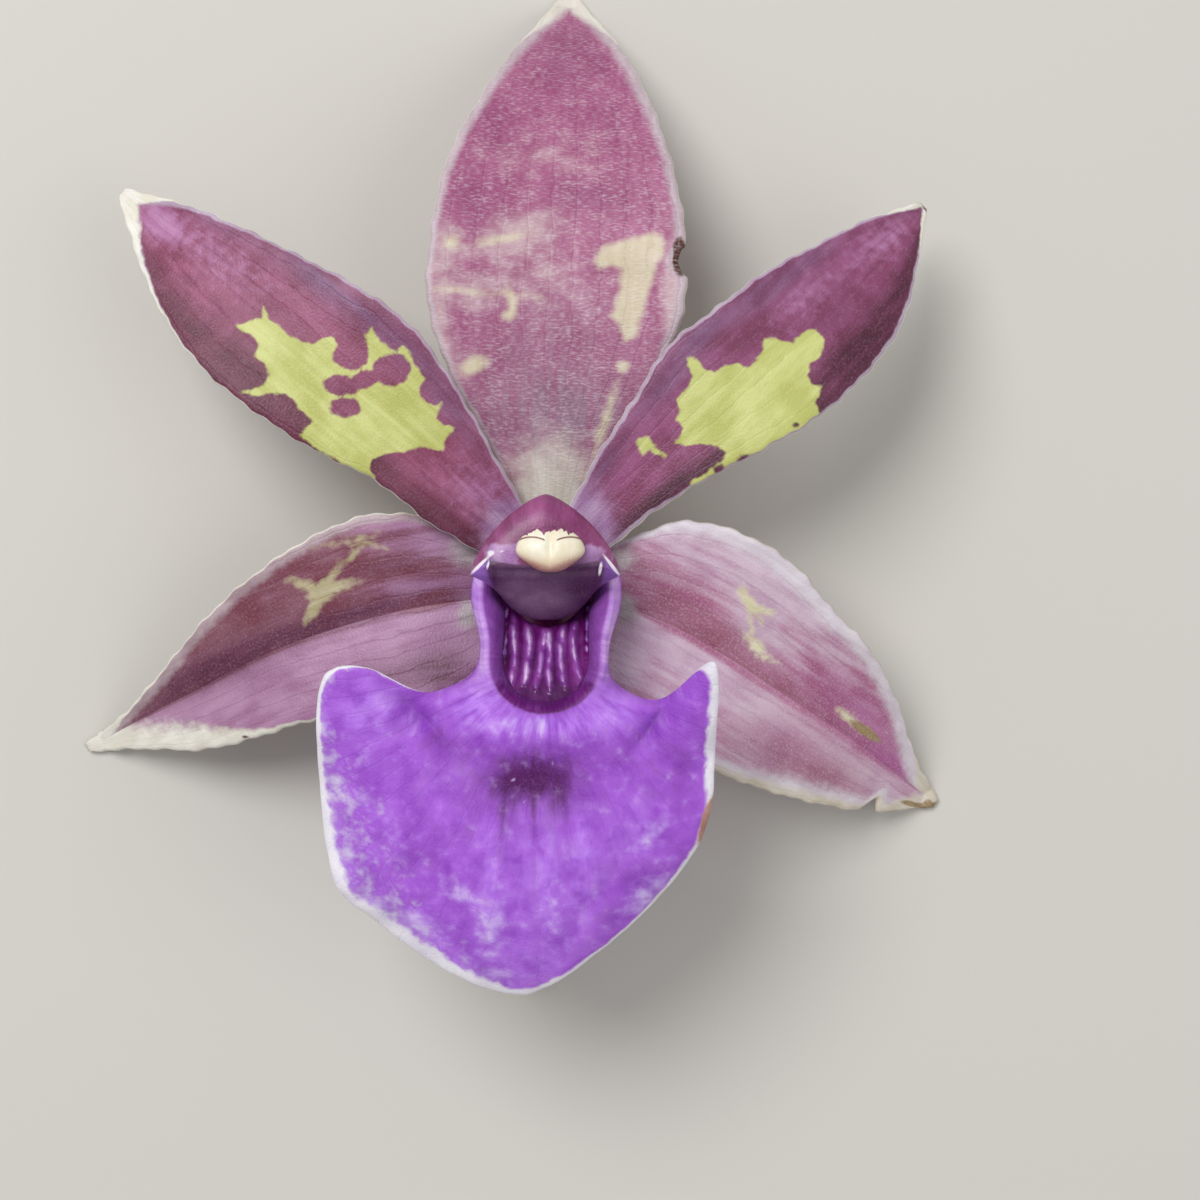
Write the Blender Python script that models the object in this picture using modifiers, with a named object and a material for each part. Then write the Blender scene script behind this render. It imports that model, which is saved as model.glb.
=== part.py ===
"""A zygopetalum orchid flower, as picked, lying on its back with its face up.

Frame: +X is the flower's right as you look at its face, +Y points to its top sepal, +Z points up
out of its face. The surface it lies on is Z = 0, and the origin is under the middle of its box.
Sizes are in millimetres, measured from the flower's own axis, which passes up through the column.
Each petal and sepal is a flat grid bent along its midrib, then given its thickness.
"""

import math

import bmesh
import bpy
import numpy as np

MM = 0.001

# Where the flower's axis stands, from the middle of the flower's box
AXIS_X = 3.45
AXIS_Y = -6.7

# Thickness of the petals and sepals, and of the lip
BLADE = 0.8
LIP_SHEET = 0.6

# Petals and sepals. A midrib runs from base to tip through five evenly spaced points (x, y, z).
# The half-widths run from base to tip too, on the left and right of the midrib seen from its base.
# cup lifts the margins in a curve, fold lifts them in a straight V, wave ripples them.
BLADES = {
    "dorsal_sepal": {
        "midrib": [(0, 3.5, 11.5), (0.3, 15, 12.7), (0.8, 27, 12.2), (1.2, 39, 8.0), (1.6, 50.0, -0.6)],
        "left": [2.4, 4.9, 8.4, 10.5, 10.4, 9.4, 7.0, 4.1, 0.8],
        "right": [2.4, 4.9, 8.5, 10.7, 10.6, 9.4, 7.4, 4.7, 0.8],
        "cup": 0.10,
        "fold": 0.02,
        "wave": 0.25,
        "rows": 20,
        "colour": (0.42, 0.13, 0.25),
    },
    "petal_left": {
        "midrib": [
            (-2.1, 2.0, 13.1), (-10.7, 9.8, 15.0), (-19.3, 17.2, 15.2),
            (-28.0, 24.6, 12.4), (-36.4, 31.4, 7.4),
        ],
        "left": [2.8, 4.3, 4.7, 6.1, 6.9, 7.0, 5.9, 3.5, 0.4],
        "right": [1.3, 3.3, 5.3, 6.7, 6.4, 5.2, 3.9, 2.4, 0.4],
        "cup": 0.06,
        "fold": 0.03,
        "wave": 0.35,
        "rows": 18,
        "colour": (0.36, 0.10, 0.22),
    },
    "petal_right": {
        "midrib": [
            (2.1, 1.9, 13.1), (10.0, 9.4, 15.0), (17.6, 16.5, 15.2),
            (24.9, 23.6, 12.4), (31.8, 30.2, 7.6),
        ],
        "left": [1.3, 3.3, 4.6, 5.9, 5.5, 4.9, 3.6, 2.3, 0.4],
        "right": [2.8, 3.1, 4.1, 5.6, 6.7, 6.9, 6.1, 3.6, 0.4],
        "cup": 0.06,
        "fold": 0.03,
        "wave": 0.35,
        "rows": 18,
        "colour": (0.36, 0.10, 0.22),
    },
    "lateral_sepal_left": {
        "midrib": [
            (-3.4, -2.9, 11.2), (-12.6, -4.3, 11.4), (-22.2, -7.2, 9.4),
            (-31.9, -11.8, 5.0), (-41.0, -16.4, -0.6),
        ],
        "left": [3.9, 6.7, 7.9, 7.6, 6.7, 6.1, 4.9, 2.5, 0.4],
        "right": [3.2, 6.7, 8.3, 7.8, 6.5, 4.9, 2.9, 1.2, 0.4],
        "cup": 0.02,
        "fold": 0.20,
        "wave": 0.4,
        "rows": 20,
        "colour": (0.33, 0.10, 0.20),
    },
    "lateral_sepal_right": {
        "midrib": [
            (3.4, -2.7, 11.2), (11.3, -6.0, 11.4), (19.0, -10.8, 9.4),
            (26.6, -15.8, 5.2), (34.0, -21.3, -0.6),
        ],
        "left": [3.6, 7.9, 9.4, 9.5, 8.3, 7.3, 5.2, 2.3, 0.4],
        "right": [3.9, 6.9, 8.6, 9.0, 8.4, 7.5, 6.1, 4.0, 0.4],
        "cup": 0.02,
        "fold": 0.20,
        "wave": 0.4,
        "rows": 20,
        "colour": (0.45, 0.17, 0.27),
    },
}
BLADE_COLUMNS = 10
WAVES_PER_BLADE = 2.5

# The lip. Round the callus stands a horseshoe crest: two straight arms and a half-ellipse in front.
CREST_CENTRE_Y = -8.0
CREST_HALF_WIDTH = 4.5
CREST_DEPTH = 4.3
# The arms stand wider apart than the front, and draw in from the first of these places to the second
CREST_ARM_HALF_WIDTH = 5.15
CREST_NARROWS_Y = (-3.3, -7.0)
CREST_ARM_END_Y = -1.0
CREST_ARM_END_Z = 16.4
CREST_FRONT_Z = 22.6
# The foot of the wall inside the crest stands this far from the middle beside the column, and nearer
# beside the callus
COLUMN_WALL_X = 4.25
CALLUS_WALL_X = 3.75
CALLUS_WALL_Y = (-3.0, -4.4)
INNER_WALL_DROP = 2.6
# The arms' walls end a little lower. In front the wall runs on, down to the claw that carries the
# lip on the column's foot.
ARM_SKIRT = 0.6
CLAW_NARROWING = 0.6
CLAW_Y = -7.6
CLAW_Z = 12.3
# From the crest the lip spreads through a middle row to its margin. Both rows go from the end of
# the left arm, round the blade, to the end of the right arm, as (x, y, z).
LIP_MIDDLE = [
    (-5.7, -1.0, 15.2), (-5.8, -3.4, 16.6), (-5.2, -6.6, 18.4), (-5.7, -9.0, 20.0),
    (-8.0, -11.0, 21.2), (-10.6, -12.8, 21.6), (-12.4, -14.4, 21.6), (-12.2, -18.4, 22.0),
    (-10.6, -22.6, 22.3), (-8.0, -24.4, 22.5), (-4.2, -25.2, 22.7), (-0.8, -25.4, 22.8),
    (2.8, -24.4, 22.7), (6.0, -22.4, 22.5), (8.2, -19.4, 22.2), (9.0, -15.6, 21.9),
    (8.6, -12.9, 21.6), (7.3, -11.1, 21.2), (5.6, -9.1, 20.0), (5.1, -6.8, 18.4),
    (5.7, -3.6, 16.6), (5.7, -1.0, 15.2),
]
LIP_MARGIN = [
    (-5.5, -1.0, 14.2), (-5.5, -3.4, 14.8), (-5.0, -6.6, 16.4), (-5.9, -8.9, 18.8),
    (-9.8, -10.4, 20.6), (-14.2, -8.5, 23.0), (-17.5, -9.7, 22.0), (-17.9, -17.0, 20.6),
    (-16.8, -25.2, 20.2), (-13.9, -28.4, 20.2), (-7.4, -32.9, 20.0), (-1.4, -34.6, 20.0),
    (4.6, -30.8, 20.2), (9.7, -25.9, 20.6), (12.8, -20.8, 21.0), (13.4, -14.4, 21.8),
    (13.2, -8.1, 23.8), (9.5, -10.9, 20.8), (6.0, -9.0, 18.8), (4.9, -6.9, 16.4),
    (5.4, -3.6, 14.8), (5.5, -1.0, 14.2),
]
LIP_COLUMNS = 60
LIP_CLAW_ROWS = 3
LIP_WALL_ROWS = 2
LIP_BLADE_ROWS = 10
# Ripples along the blade's margin
LIP_WAVES = 11
LIP_WAVE_HEIGHT = 0.3
# A rounded collar just outside the crest's front, and a hollow in the blade in front of it
COLLAR = {"x": 0, "y": -13.9, "half_x": 4.5, "half_y": 1.1, "height": 0.6}
HOLLOW = {"x": -0.6, "y": -18.0, "half_x": 5.5, "half_y": 2.6, "height": -1.0}

# The callus: a ridged fleshy pad between the arms of the crest
CALLUS_BACK_Y = -5.5
# Its back corners reach this much further, on both sides of the column's rounded front
CALLUS_CORNERS = 1.5
CALLUS_FRONT_Y = -11.0
CALLUS_HALF_WIDTH = 3.15
CALLUS_ROUND_Y = -7.8
CALLUS_BACK_Z = 16.3
CALLUS_FRONT_Z = 21.2
CALLUS_THICKNESS = 1.8
CALLUS_SIDE_RISE = 0.9
# Its underside is smaller, measured from the middle of its back edge
CALLUS_UNDERSIDE = 0.9
RIDGE_PITCH = 1.1
RIDGE_HEIGHT = 0.45
CALLUS_COLUMNS = 36
CALLUS_ROWS = 10
# How much of its rows lie behind the rounded front, and how far round the front they go
CALLUS_STRAIGHT_SHARE = 0.4
CALLUS_FRONT_TURN = math.radians(72)

# The column, as level sections: height, half-width, and how far the section reaches at the back
# (towards the top sepal), at its widest point and in front (towards the lip)
COLUMN_LEVELS = [
    (10.7, 2.7, 3.0, -1.5, -6.8),
    (12.0, 2.8, 3.0, -1.5, -6.8),
    (13.0, 2.8, 3.1, -1.3, -6.2),
    (14.0, 3.2, 3.3, -1.1, -4.9),
    (15.0, 3.4, 3.7, -1.2, -4.3),
    (16.0, 3.5, 4.2, -1.2, -4.4),
    (17.0, 3.7, 4.6, -1.1, -4.9),
    (17.9, 4.0, 4.9, -1.0, -4.7),
    (18.8, 4.5, 5.1, -0.9, -3.9),
    (19.5, 5.3, 5.1, -1.0, -2.8),
    (20.2, 5.9, 4.9, -1.2, -2.0),
    (20.8, 5.8, 4.4, -1.2, -1.5),
    (21.2, 5.0, 3.9, -0.8, -1.0),
    (21.5, 3.9, 3.3, -0.4, -0.7),
]
COLUMN_SIDES = 30
COLUMN_BACK_POWER = 1.48
COLUMN_FRONT_POWER = 2.4

# The anther cap on the column's tip, and the pollen masses under it
CAP_X, CAP_Y = 0.3, 0.55
CAP_SEAT_Z = 21.8
CAP_HALF_WIDTH = 2.85
CAP_HALF_DEPTH = 1.6
CAP_HEIGHT = 1.5
CAP_WALL = 0.45
CAP_GROOVE = 0.28
CAP_BEAK = 0.2
# How wide the groove and the beak are, as shares of the cap's half-width
CAP_GROOVE_WIDTH = 0.16
CAP_BEAK_WIDTH = 0.5
CAP_SEGMENTS = 24
CAP_RINGS = 14
# Two large and two small masses on a plate: how far each is from the middle, and its radius
POLLEN_Z = 22.0
POLLEN_PLATE = (1.7, 1.05)
POLLEN_LARGE = {"x": 0.8, "y": 0.35, "radius": 0.6, "height": 0.45}
POLLEN_SMALL = {"x": 0.65, "y": -0.5, "radius": 0.42, "height": 0.3}
POLLEN_THICKNESS = 0.25
POLLEN_COLUMNS = 18
POLLEN_ROWS = 12

# The stalk: a ribbed ovary that bends from the flower's back down to the surface, then the pedicel
STALK_TOP_Z = 10.4
STALK_BEND = 8.75
STALK_END_Y = -36.8
STALK_END_X = -2.6
STALK_END_Z = 1.75
STALK_RIBS = 6
STALK_RIB_HEIGHT = 0.07
STALK_TWIST = math.radians(150)
STALK_SIDES = 24
STALK_RINGS = 28
# Radius along the stalk, from the cut end to the flower
STALK_RADII = [1.55, 1.45, 1.5, 1.65, 1.9, 2.1, 2.2, 2.3, 2.75]

GREEN = (0.26, 0.36, 0.06)
PLUM = (0.30, 0.05, 0.20)
VIOLET = (0.33, 0.13, 0.55)
DARK_CALLUS = (0.10, 0.005, 0.10)
CREAM = (0.80, 0.72, 0.50)
POLLEN_YELLOW = (0.80, 0.60, 0.12)


def clear_scene():
    """Removes the objects that the scene opened with."""
    for old in list(bpy.data.objects):
        bpy.data.objects.remove(old, do_unlink=True)


def flower_empty():
    """The empty at the flower's axis, which every piece is parented to."""
    axis = bpy.data.objects.new("flower_axis", None)
    axis.location = (AXIS_X * MM, AXIS_Y * MM, 0)
    bpy.context.scene.collection.objects.link(axis)
    return axis


def plant_material(name, colour, roughness=0.45):
    """A plain waxy plant surface of one colour."""
    made = bpy.data.materials.new(name)
    made.use_nodes = True
    shader = made.node_tree.nodes["Principled BSDF"]
    shader.inputs["Base Color"].default_value = (*colour, 1)
    shader.inputs["Roughness"].default_value = roughness
    shader.inputs["Metallic"].default_value = 0
    return made


def smooth_through(values, t):
    """A smooth (Catmull-Rom) curve through evenly spaced values, read at each t from 0 to 1."""
    points = np.asarray(values, float)
    padded = np.concatenate([2 * points[:1] - points[1:2], points, 2 * points[-1:] - points[-2:-1]])
    place = np.clip(t, 0, 1) * (len(points) - 1)
    span = np.minimum(place.astype(int), len(points) - 2)
    f = place - span
    if points.ndim > 1:
        f = f[:, None]
    a, b, c, d = (padded[span + k] for k in range(4))
    return b + f / 2 * (c - a + f * (2 * a - 5 * b + 4 * c - d + f * (3 * b - 3 * c + d - a)))


def ease(value, start, end):
    """0 before start, 1 after end, and 3s^2 - 2s^3 between, where s is the share of the way."""
    share = np.clip((value - start) / (end - start), 0, 1)
    return share**2 * (3 - 2 * share)


def bent_grid(columns, rows, place):
    """A flat grid whose points move to place(across, along), both running from 0 to 1, in millimetres."""
    mesh = bmesh.new()
    bmesh.ops.create_grid(mesh, x_segments=columns, y_segments=rows, size=1)
    corners = np.array([v.co for v in mesh.verts])
    moved = place((corners[:, 0] + 1) / 2, (corners[:, 1] + 1) / 2) * MM
    for vertex, point in zip(mesh.verts, moved):
        vertex.co = point
    return mesh


def face_outwards(mesh):
    """Turns the faces of a closed solid outwards."""
    bmesh.ops.recalc_face_normals(mesh, faces=mesh.faces)
    if mesh.calc_volume(signed=True) < 0:
        bmesh.ops.reverse_faces(mesh, faces=mesh.faces)


def close_tube(mesh):
    """Joins a grid's two long sides into a tube and caps both ends."""
    bmesh.ops.remove_doubles(mesh, verts=mesh.verts, dist=1e-6)
    bmesh.ops.holes_fill(mesh, edges=mesh.edges, sides=0)
    face_outwards(mesh)


def close_pad(mesh, lower):
    """Closes an open grid into a solid pad, whose underside is lower(x, y) of the top, in millimetres."""
    extruded = bmesh.ops.extrude_face_region(mesh, geom=list(mesh.faces))["geom"]
    for vertex in extruded:
        if isinstance(vertex, bmesh.types.BMVert):
            x, y, z = lower(vertex.co.x / MM, vertex.co.y / MM)
            vertex.co = (x * MM, y * MM, z * MM)
    face_outwards(mesh)


def add_piece(mesh, name, parent, colour, roughness=0.45):
    """Turns a bmesh into a named object with its own material, riding on the flower's axis."""
    bmesh.ops.triangulate(mesh, faces=mesh.faces)
    data = bpy.data.meshes.new(name)
    mesh.to_mesh(data)
    mesh.free()
    data.shade_smooth()
    data.materials.append(plant_material(name, colour, roughness))
    piece = bpy.data.objects.new(name, data)
    bpy.data.collections["zygopetalum_flower"].objects.link(piece)
    piece.parent = parent
    return piece


def thicken(piece, thickness, offset=0):
    """Gives an open surface its thickness, evenly on both sides unless offset says otherwise."""
    solid = piece.modifiers.new("thickness", "SOLIDIFY")
    solid.thickness = thickness * MM
    solid.offset = offset


def blade_surface(spec, across, along):
    """A petal or sepal: its midrib, spread to both sides by its half-widths, then cupped and waved."""
    rib = smooth_through(spec["midrib"], along)
    step = 0.01
    ahead = smooth_through(spec["midrib"], np.minimum(along + step, 1))
    behind = smooth_through(spec["midrib"], np.maximum(along - step, 0))
    run = (ahead - behind)[:, :2]
    run /= np.linalg.norm(run, axis=1)[:, None]
    side = across * 2 - 1
    left = smooth_through(spec["left"], along)
    right = smooth_through(spec["right"], along)
    reach = np.where(side < 0, left, right) * side
    x = rib[:, 0] + run[:, 1] * reach
    y = rib[:, 1] - run[:, 0] * reach
    ripple = spec["wave"] * np.sin(2 * np.pi * WAVES_PER_BLADE * along + side) * np.abs(side) ** 3
    near_tip = 1 - along**4
    lift = spec["cup"] * reach * side + spec["fold"] * np.abs(reach) + ripple * near_tip * along
    # The tip that rests on the surface is flat underneath
    z = np.maximum(rib[:, 2] + lift, BLADE / 2)
    return np.column_stack([x, y, z])


def add_blades(parent):
    for name, spec in BLADES.items():
        mesh = bent_grid(BLADE_COLUMNS, spec["rows"], lambda a, b, s=spec: blade_surface(s, a, b))
        thicken(add_piece(mesh, name, parent, spec["colour"]), BLADE)


def crest_beside(x, y):
    """The crest's point in line with a point of the lip, seen from the middle of the crest's front."""
    turn = np.arctan2(y - CREST_CENTRE_Y, x)
    front_x = CREST_HALF_WIDTH * np.cos(turn)
    front_y = CREST_CENTRE_Y + CREST_DEPTH * np.sin(turn)
    on_arm = y > CREST_CENTRE_Y
    narrowed = CREST_ARM_HALF_WIDTH - CREST_HALF_WIDTH
    arm_x = CREST_ARM_HALF_WIDTH - narrowed * ease(y, *CREST_NARROWS_Y)
    crest_x = np.where(on_arm, np.sign(x) * arm_x, front_x)
    crest_y = np.where(on_arm, y, front_y)
    front_end_y = CREST_CENTRE_Y - CREST_DEPTH
    forward = (CREST_ARM_END_Y - crest_y) / (CREST_ARM_END_Y - front_end_y)
    rise = np.sin(np.clip(forward, 0, 1) * np.pi / 2)
    crest_z = CREST_ARM_END_Z + (CREST_FRONT_Z - CREST_ARM_END_Z) * rise
    return np.column_stack([crest_x, crest_y, crest_z])


def inner_wall_foot(crest):
    """The foot of the wall inside the crest: in towards the callus, and down."""
    towards_y = np.maximum(CREST_CENTRE_Y - crest[:, 1], 0)
    inward = np.column_stack([-crest[:, 0], towards_y])
    inward /= np.linalg.norm(inward, axis=1)[:, None]
    beside_callus = ease(crest[:, 1], *CALLUS_WALL_Y)
    arm_foot_x = COLUMN_WALL_X + (CALLUS_WALL_X - COLUMN_WALL_X) * beside_callus
    on_arm = crest[:, 1] > CREST_CENTRE_Y
    reach = np.where(on_arm, np.abs(crest[:, 0]) - arm_foot_x, CREST_HALF_WIDTH - CALLUS_WALL_X)
    foot = crest.copy()
    foot[:, :2] += inward * reach[:, None]
    foot[:, 2] -= INNER_WALL_DROP
    return foot


def lip_underside(crest, foot):
    """Where the lip ends under the crest: just below the arms, and in front at the claw's end."""
    claw = crest * [CLAW_NARROWING, 0, 0] + [0, CLAW_Y, CLAW_Z]
    skirt = foot - [0, 0, ARM_SKIRT]
    in_front = ease(CREST_CENTRE_Y - crest[:, 1], 0, CREST_DEPTH * 0.8)[:, None]
    return skirt + (claw - skirt) * in_front


def bump(point, spec):
    """A rounded bump or hollow in the blade: height * exp(-(dx / half_x)^2 - (dy / half_y)^2)."""
    away_x = (point[:, 0] - spec["x"]) / spec["half_x"]
    away_y = (point[:, 1] - spec["y"]) / spec["half_y"]
    return spec["height"] * np.exp(-(away_x**2) - away_y**2)


def lip_surface(across, along):
    """The lip: the claw, the wall inside the crest, then the spread from the crest to the margin."""
    middle = smooth_through(LIP_MIDDLE, across)
    margin = smooth_through(LIP_MARGIN, across)
    crest = crest_beside(middle[:, 0], middle[:, 1])
    foot = inner_wall_foot(crest)
    start = lip_underside(crest, foot)
    row = along[:, None] * (LIP_CLAW_ROWS + LIP_WALL_ROWS + LIP_BLADE_ROWS)
    down = np.clip(row / LIP_CLAW_ROWS, 0, 1)
    up = np.clip((row - LIP_CLAW_ROWS) / LIP_WALL_ROWS, 0, 1)
    out = np.clip((row - LIP_CLAW_ROWS - LIP_WALL_ROWS) / LIP_BLADE_ROWS, 0, 1)
    claw = start + (foot - start) * down
    # A quarter ellipse from the foot, so that the crest is rounded
    turn = up * np.pi / 2
    wall = foot + (crest - foot) * np.hstack([1 - np.cos(turn), 1 - np.cos(turn), np.sin(turn)])
    # A parabola from crest to margin through the middle row
    spread = crest * (1 - out) * (1 - 2 * out) + margin * out * (2 * out - 1)
    spread += middle * 4 * out * (1 - out)
    point = np.where(up > 0, np.where(out > 0, spread, wall), claw)
    out = out[:, 0]
    ripple = LIP_WAVE_HEIGHT * np.sin(2 * np.pi * LIP_WAVES * across) * out**4
    relief = bump(point, COLLAR) + bump(point, HOLLOW) + ripple
    point[:, 2] += np.where(out > 0, relief, 0)
    return point


def add_lip(parent):
    mesh = bent_grid(LIP_COLUMNS, LIP_CLAW_ROWS + LIP_WALL_ROWS + LIP_BLADE_ROWS, lip_surface)
    bmesh.ops.recalc_face_normals(mesh, faces=mesh.faces)
    thicken(add_piece(mesh, "lip", parent, VIOLET), LIP_SHEET)


def callus_floor(y):
    """The height of the callus under its ridges, which climbs to the front."""
    along = (y - CALLUS_BACK_Y) / (CALLUS_FRONT_Y - CALLUS_BACK_Y)
    return CALLUS_BACK_Z + (CALLUS_FRONT_Z - CALLUS_BACK_Z) * along


def callus_surface(across, along):
    """The callus's top: a sloping floor that rises to its sides, with ridges running to the front."""
    side = across * 2 - 1
    straight = np.clip(along / CALLUS_STRAIGHT_SHARE, 0, 1)
    round_share = np.clip((along - CALLUS_STRAIGHT_SHARE) / (1 - CALLUS_STRAIGHT_SHARE), 0, 1)
    turn = round_share * CALLUS_FRONT_TURN
    x = side * CALLUS_HALF_WIDTH * np.cos(turn)
    back_y = CALLUS_BACK_Y + CALLUS_CORNERS * np.abs(side) ** 3
    y = back_y + (CALLUS_ROUND_Y - back_y) * straight
    y += (CALLUS_FRONT_Y - CALLUS_ROUND_Y) * np.sin(turn)
    ridge = 0.5 + 0.5 * np.cos(2 * np.pi * x / RIDGE_PITCH)
    # The ridges fade out at the back, the front and the sides
    fade = np.clip(along / 0.15, 0, 1) * np.clip((1 - along) / 0.2, 0, 1)
    fade *= np.clip((1 - np.abs(side)) / 0.1, 0, 1)
    z = callus_floor(y) + CALLUS_SIDE_RISE * side**4 * np.cos(turn) ** 3 + RIDGE_HEIGHT * ridge * fade
    return np.column_stack([x, y, z])


def callus_underside(x, y):
    lower_y = CALLUS_BACK_Y + (y - CALLUS_BACK_Y) * CALLUS_UNDERSIDE
    return x * CALLUS_UNDERSIDE, lower_y, callus_floor(min(y, CALLUS_BACK_Y)) - CALLUS_THICKNESS


def add_callus(parent):
    mesh = bent_grid(CALLUS_COLUMNS, CALLUS_ROWS, callus_surface)
    close_pad(mesh, callus_underside)
    add_piece(mesh, "lip_callus", parent, DARK_CALLUS, roughness=0.25)


def column_surface(around, along):
    """The column: level sections, each a pair of half superellipses, joined from base to tip."""
    height, half_width, back, widest, front = smooth_through(COLUMN_LEVELS, along).T
    turn = around * 2 * np.pi
    x_share, y_share = np.cos(turn), np.sin(turn)
    power = np.where(y_share > 0, COLUMN_BACK_POWER, COLUMN_FRONT_POWER)
    scale = (np.abs(x_share) ** power + np.abs(y_share) ** power) ** (-1 / power)
    reach = np.where(y_share > 0, back - widest, widest - front)
    return np.column_stack([half_width * x_share * scale, widest + reach * y_share * scale, height])


def add_column(parent):
    mesh = bent_grid(COLUMN_SIDES, 2 * (len(COLUMN_LEVELS) - 1), column_surface)
    close_tube(mesh)
    add_piece(mesh, "column", parent, PLUM, roughness=0.35)


def add_anther_cap(parent):
    """The cap: half a sphere drawn out to two lobes with a groove between them and a beak in front."""
    mesh = bmesh.new()
    bmesh.ops.create_uvsphere(mesh, u_segments=CAP_SEGMENTS, v_segments=CAP_RINGS, radius=1)
    lower = [v for v in mesh.verts if v.co.z < -0.01]
    bmesh.ops.delete(mesh, geom=lower, context="VERTS")
    for vertex in mesh.verts:
        x, y, z = vertex.co
        groove = CAP_GROOVE * math.exp(-((x / CAP_GROOVE_WIDTH) ** 2)) * max(z, 0)
        beak = CAP_BEAK * math.exp(-((x / CAP_BEAK_WIDTH) ** 2)) * max(-y, 0)
        vertex.co.x = (CAP_X + CAP_HALF_WIDTH * x) * MM
        vertex.co.y = (CAP_Y + CAP_HALF_DEPTH * y - beak) * MM
        vertex.co.z = (CAP_SEAT_Z + CAP_HEIGHT * z - groove) * MM
    bmesh.ops.recalc_face_normals(mesh, faces=mesh.faces)
    thicken(add_piece(mesh, "anther_cap", parent, CREAM, roughness=0.3), CAP_WALL, offset=-1)


def pollen_surface(across, along):
    """A rounded plate with four domes on it, each (1 - r^2)^0.5 high out to its radius."""
    side = across * 2 - 1
    front = along * 2 - 1
    x = POLLEN_PLATE[0] * side * np.sqrt(1 - front**2 / 2)
    y = POLLEN_PLATE[1] * front * np.sqrt(1 - side**2 / 2)
    z = np.full(len(x), POLLEN_Z)
    for mass in (POLLEN_LARGE, POLLEN_SMALL):
        from_middle = np.hypot(np.abs(x) - mass["x"], y - mass["y"]) / mass["radius"]
        z += mass["height"] * np.sqrt(np.clip(1 - from_middle**2, 0, 1))
    return np.column_stack([CAP_X + x, CAP_Y + y, z])


def add_pollinarium(parent):
    """Two pairs of waxy pollen masses on the plate that a bee carries them away by."""
    mesh = bent_grid(POLLEN_COLUMNS, POLLEN_ROWS, pollen_surface)
    close_pad(mesh, lambda x, y: (x, y, POLLEN_Z - POLLEN_THICKNESS))
    add_piece(mesh, "pollinarium", parent, POLLEN_YELLOW, roughness=0.3)


def stalk_path(along):
    """The stalk's centre line from its cut end: along the surface, then round a quarter circle, up."""
    bend_length = STALK_BEND * np.pi / 2
    straight = -STALK_BEND - STALK_END_Y
    run = along * (straight + bend_length)
    on_line = np.clip(run / straight, 0, 1)
    turn = np.clip((run - straight) / STALK_BEND, 0, np.pi / 2)
    low_z = STALK_TOP_Z - STALK_BEND
    x = STALK_END_X * (1 - on_line) ** 2
    y = STALK_END_Y + straight * on_line + STALK_BEND * np.sin(turn)
    z = STALK_END_Z + (low_z - STALK_END_Z) * on_line + STALK_BEND * (1 - np.cos(turn))
    return np.column_stack([x, y, z]), turn


def stalk_surface(around, along):
    """The stalk: a ribbed, twisted round section carried along its path, flat where it rests."""
    centre, turn = stalk_path(along)
    angle = around * 2 * np.pi
    ribs = 1 + STALK_RIB_HEIGHT * np.cos(STALK_RIBS * (angle + STALK_TWIST * along))
    radius = smooth_through(STALK_RADII, along) * ribs
    x = centre[:, 0] + radius * np.cos(angle)
    y = centre[:, 1] - radius * np.sin(angle) * np.sin(turn)
    z = centre[:, 2] + radius * np.sin(angle) * np.cos(turn)
    return np.column_stack([x, y, np.maximum(z, 0)])


def add_stalk(parent):
    mesh = bent_grid(STALK_SIDES, STALK_RINGS, stalk_surface)
    close_tube(mesh)
    add_piece(mesh, "ovary_and_pedicel", parent, GREEN)


def main():
    clear_scene()
    flower = bpy.data.collections.new("zygopetalum_flower")
    bpy.context.scene.collection.children.link(flower)
    axis = flower_empty()
    add_stalk(axis)
    add_blades(axis)
    add_lip(axis)
    add_callus(axis)
    add_column(axis)
    add_anther_cap(axis)
    add_pollinarium(axis)


main()
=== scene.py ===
# %% [markdown]
# # A zygopetalum orchid flower
# A zygopetalum flower has three sepals, two petals, a broad violet lip and, in the middle, the column that
# carries the pollen. This lesson dresses a solid model of one flower that was picked with its stalk and
# laid on its back, face up. The solid model gives the places and the sizes. The lesson gives each piece a
# finer surface, and the colours and the cell texture of living tissue.

# %% Load the solid model
import math

import bmesh
import bpy
import numpy as np
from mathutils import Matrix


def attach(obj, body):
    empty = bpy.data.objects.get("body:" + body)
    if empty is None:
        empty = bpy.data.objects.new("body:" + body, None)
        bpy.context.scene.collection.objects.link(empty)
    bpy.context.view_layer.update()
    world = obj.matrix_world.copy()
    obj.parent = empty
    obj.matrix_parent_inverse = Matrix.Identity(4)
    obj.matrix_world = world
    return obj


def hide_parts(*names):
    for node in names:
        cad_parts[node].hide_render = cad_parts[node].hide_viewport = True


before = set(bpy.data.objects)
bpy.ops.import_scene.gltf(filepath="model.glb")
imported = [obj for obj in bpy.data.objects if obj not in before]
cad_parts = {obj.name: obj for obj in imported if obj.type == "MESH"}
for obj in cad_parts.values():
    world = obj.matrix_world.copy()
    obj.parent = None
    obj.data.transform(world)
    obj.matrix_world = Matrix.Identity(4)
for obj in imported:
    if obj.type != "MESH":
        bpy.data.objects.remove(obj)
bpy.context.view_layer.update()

print("solid pieces:", ", ".join(sorted(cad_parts)))

# %% [markdown]
# ## Surfaces from two numbers
# A petal is a sheet, so any point on it can be named by two numbers: how far across it is, and how far
# along. Numpy works out all the points of such a grid at once. The same few helpers serve every piece:
# a smooth curve through a few chosen values, the direction a surface faces, and the closing of a grid
# into a solid leaf.

# %% Helpers for shapes
MM = 0.001
# The flower's own axis, in mm from the frame's origin. Every shape below is measured from it.
FLOWER_AXIS = np.array([3.45, -6.7, 0.0])


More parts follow.
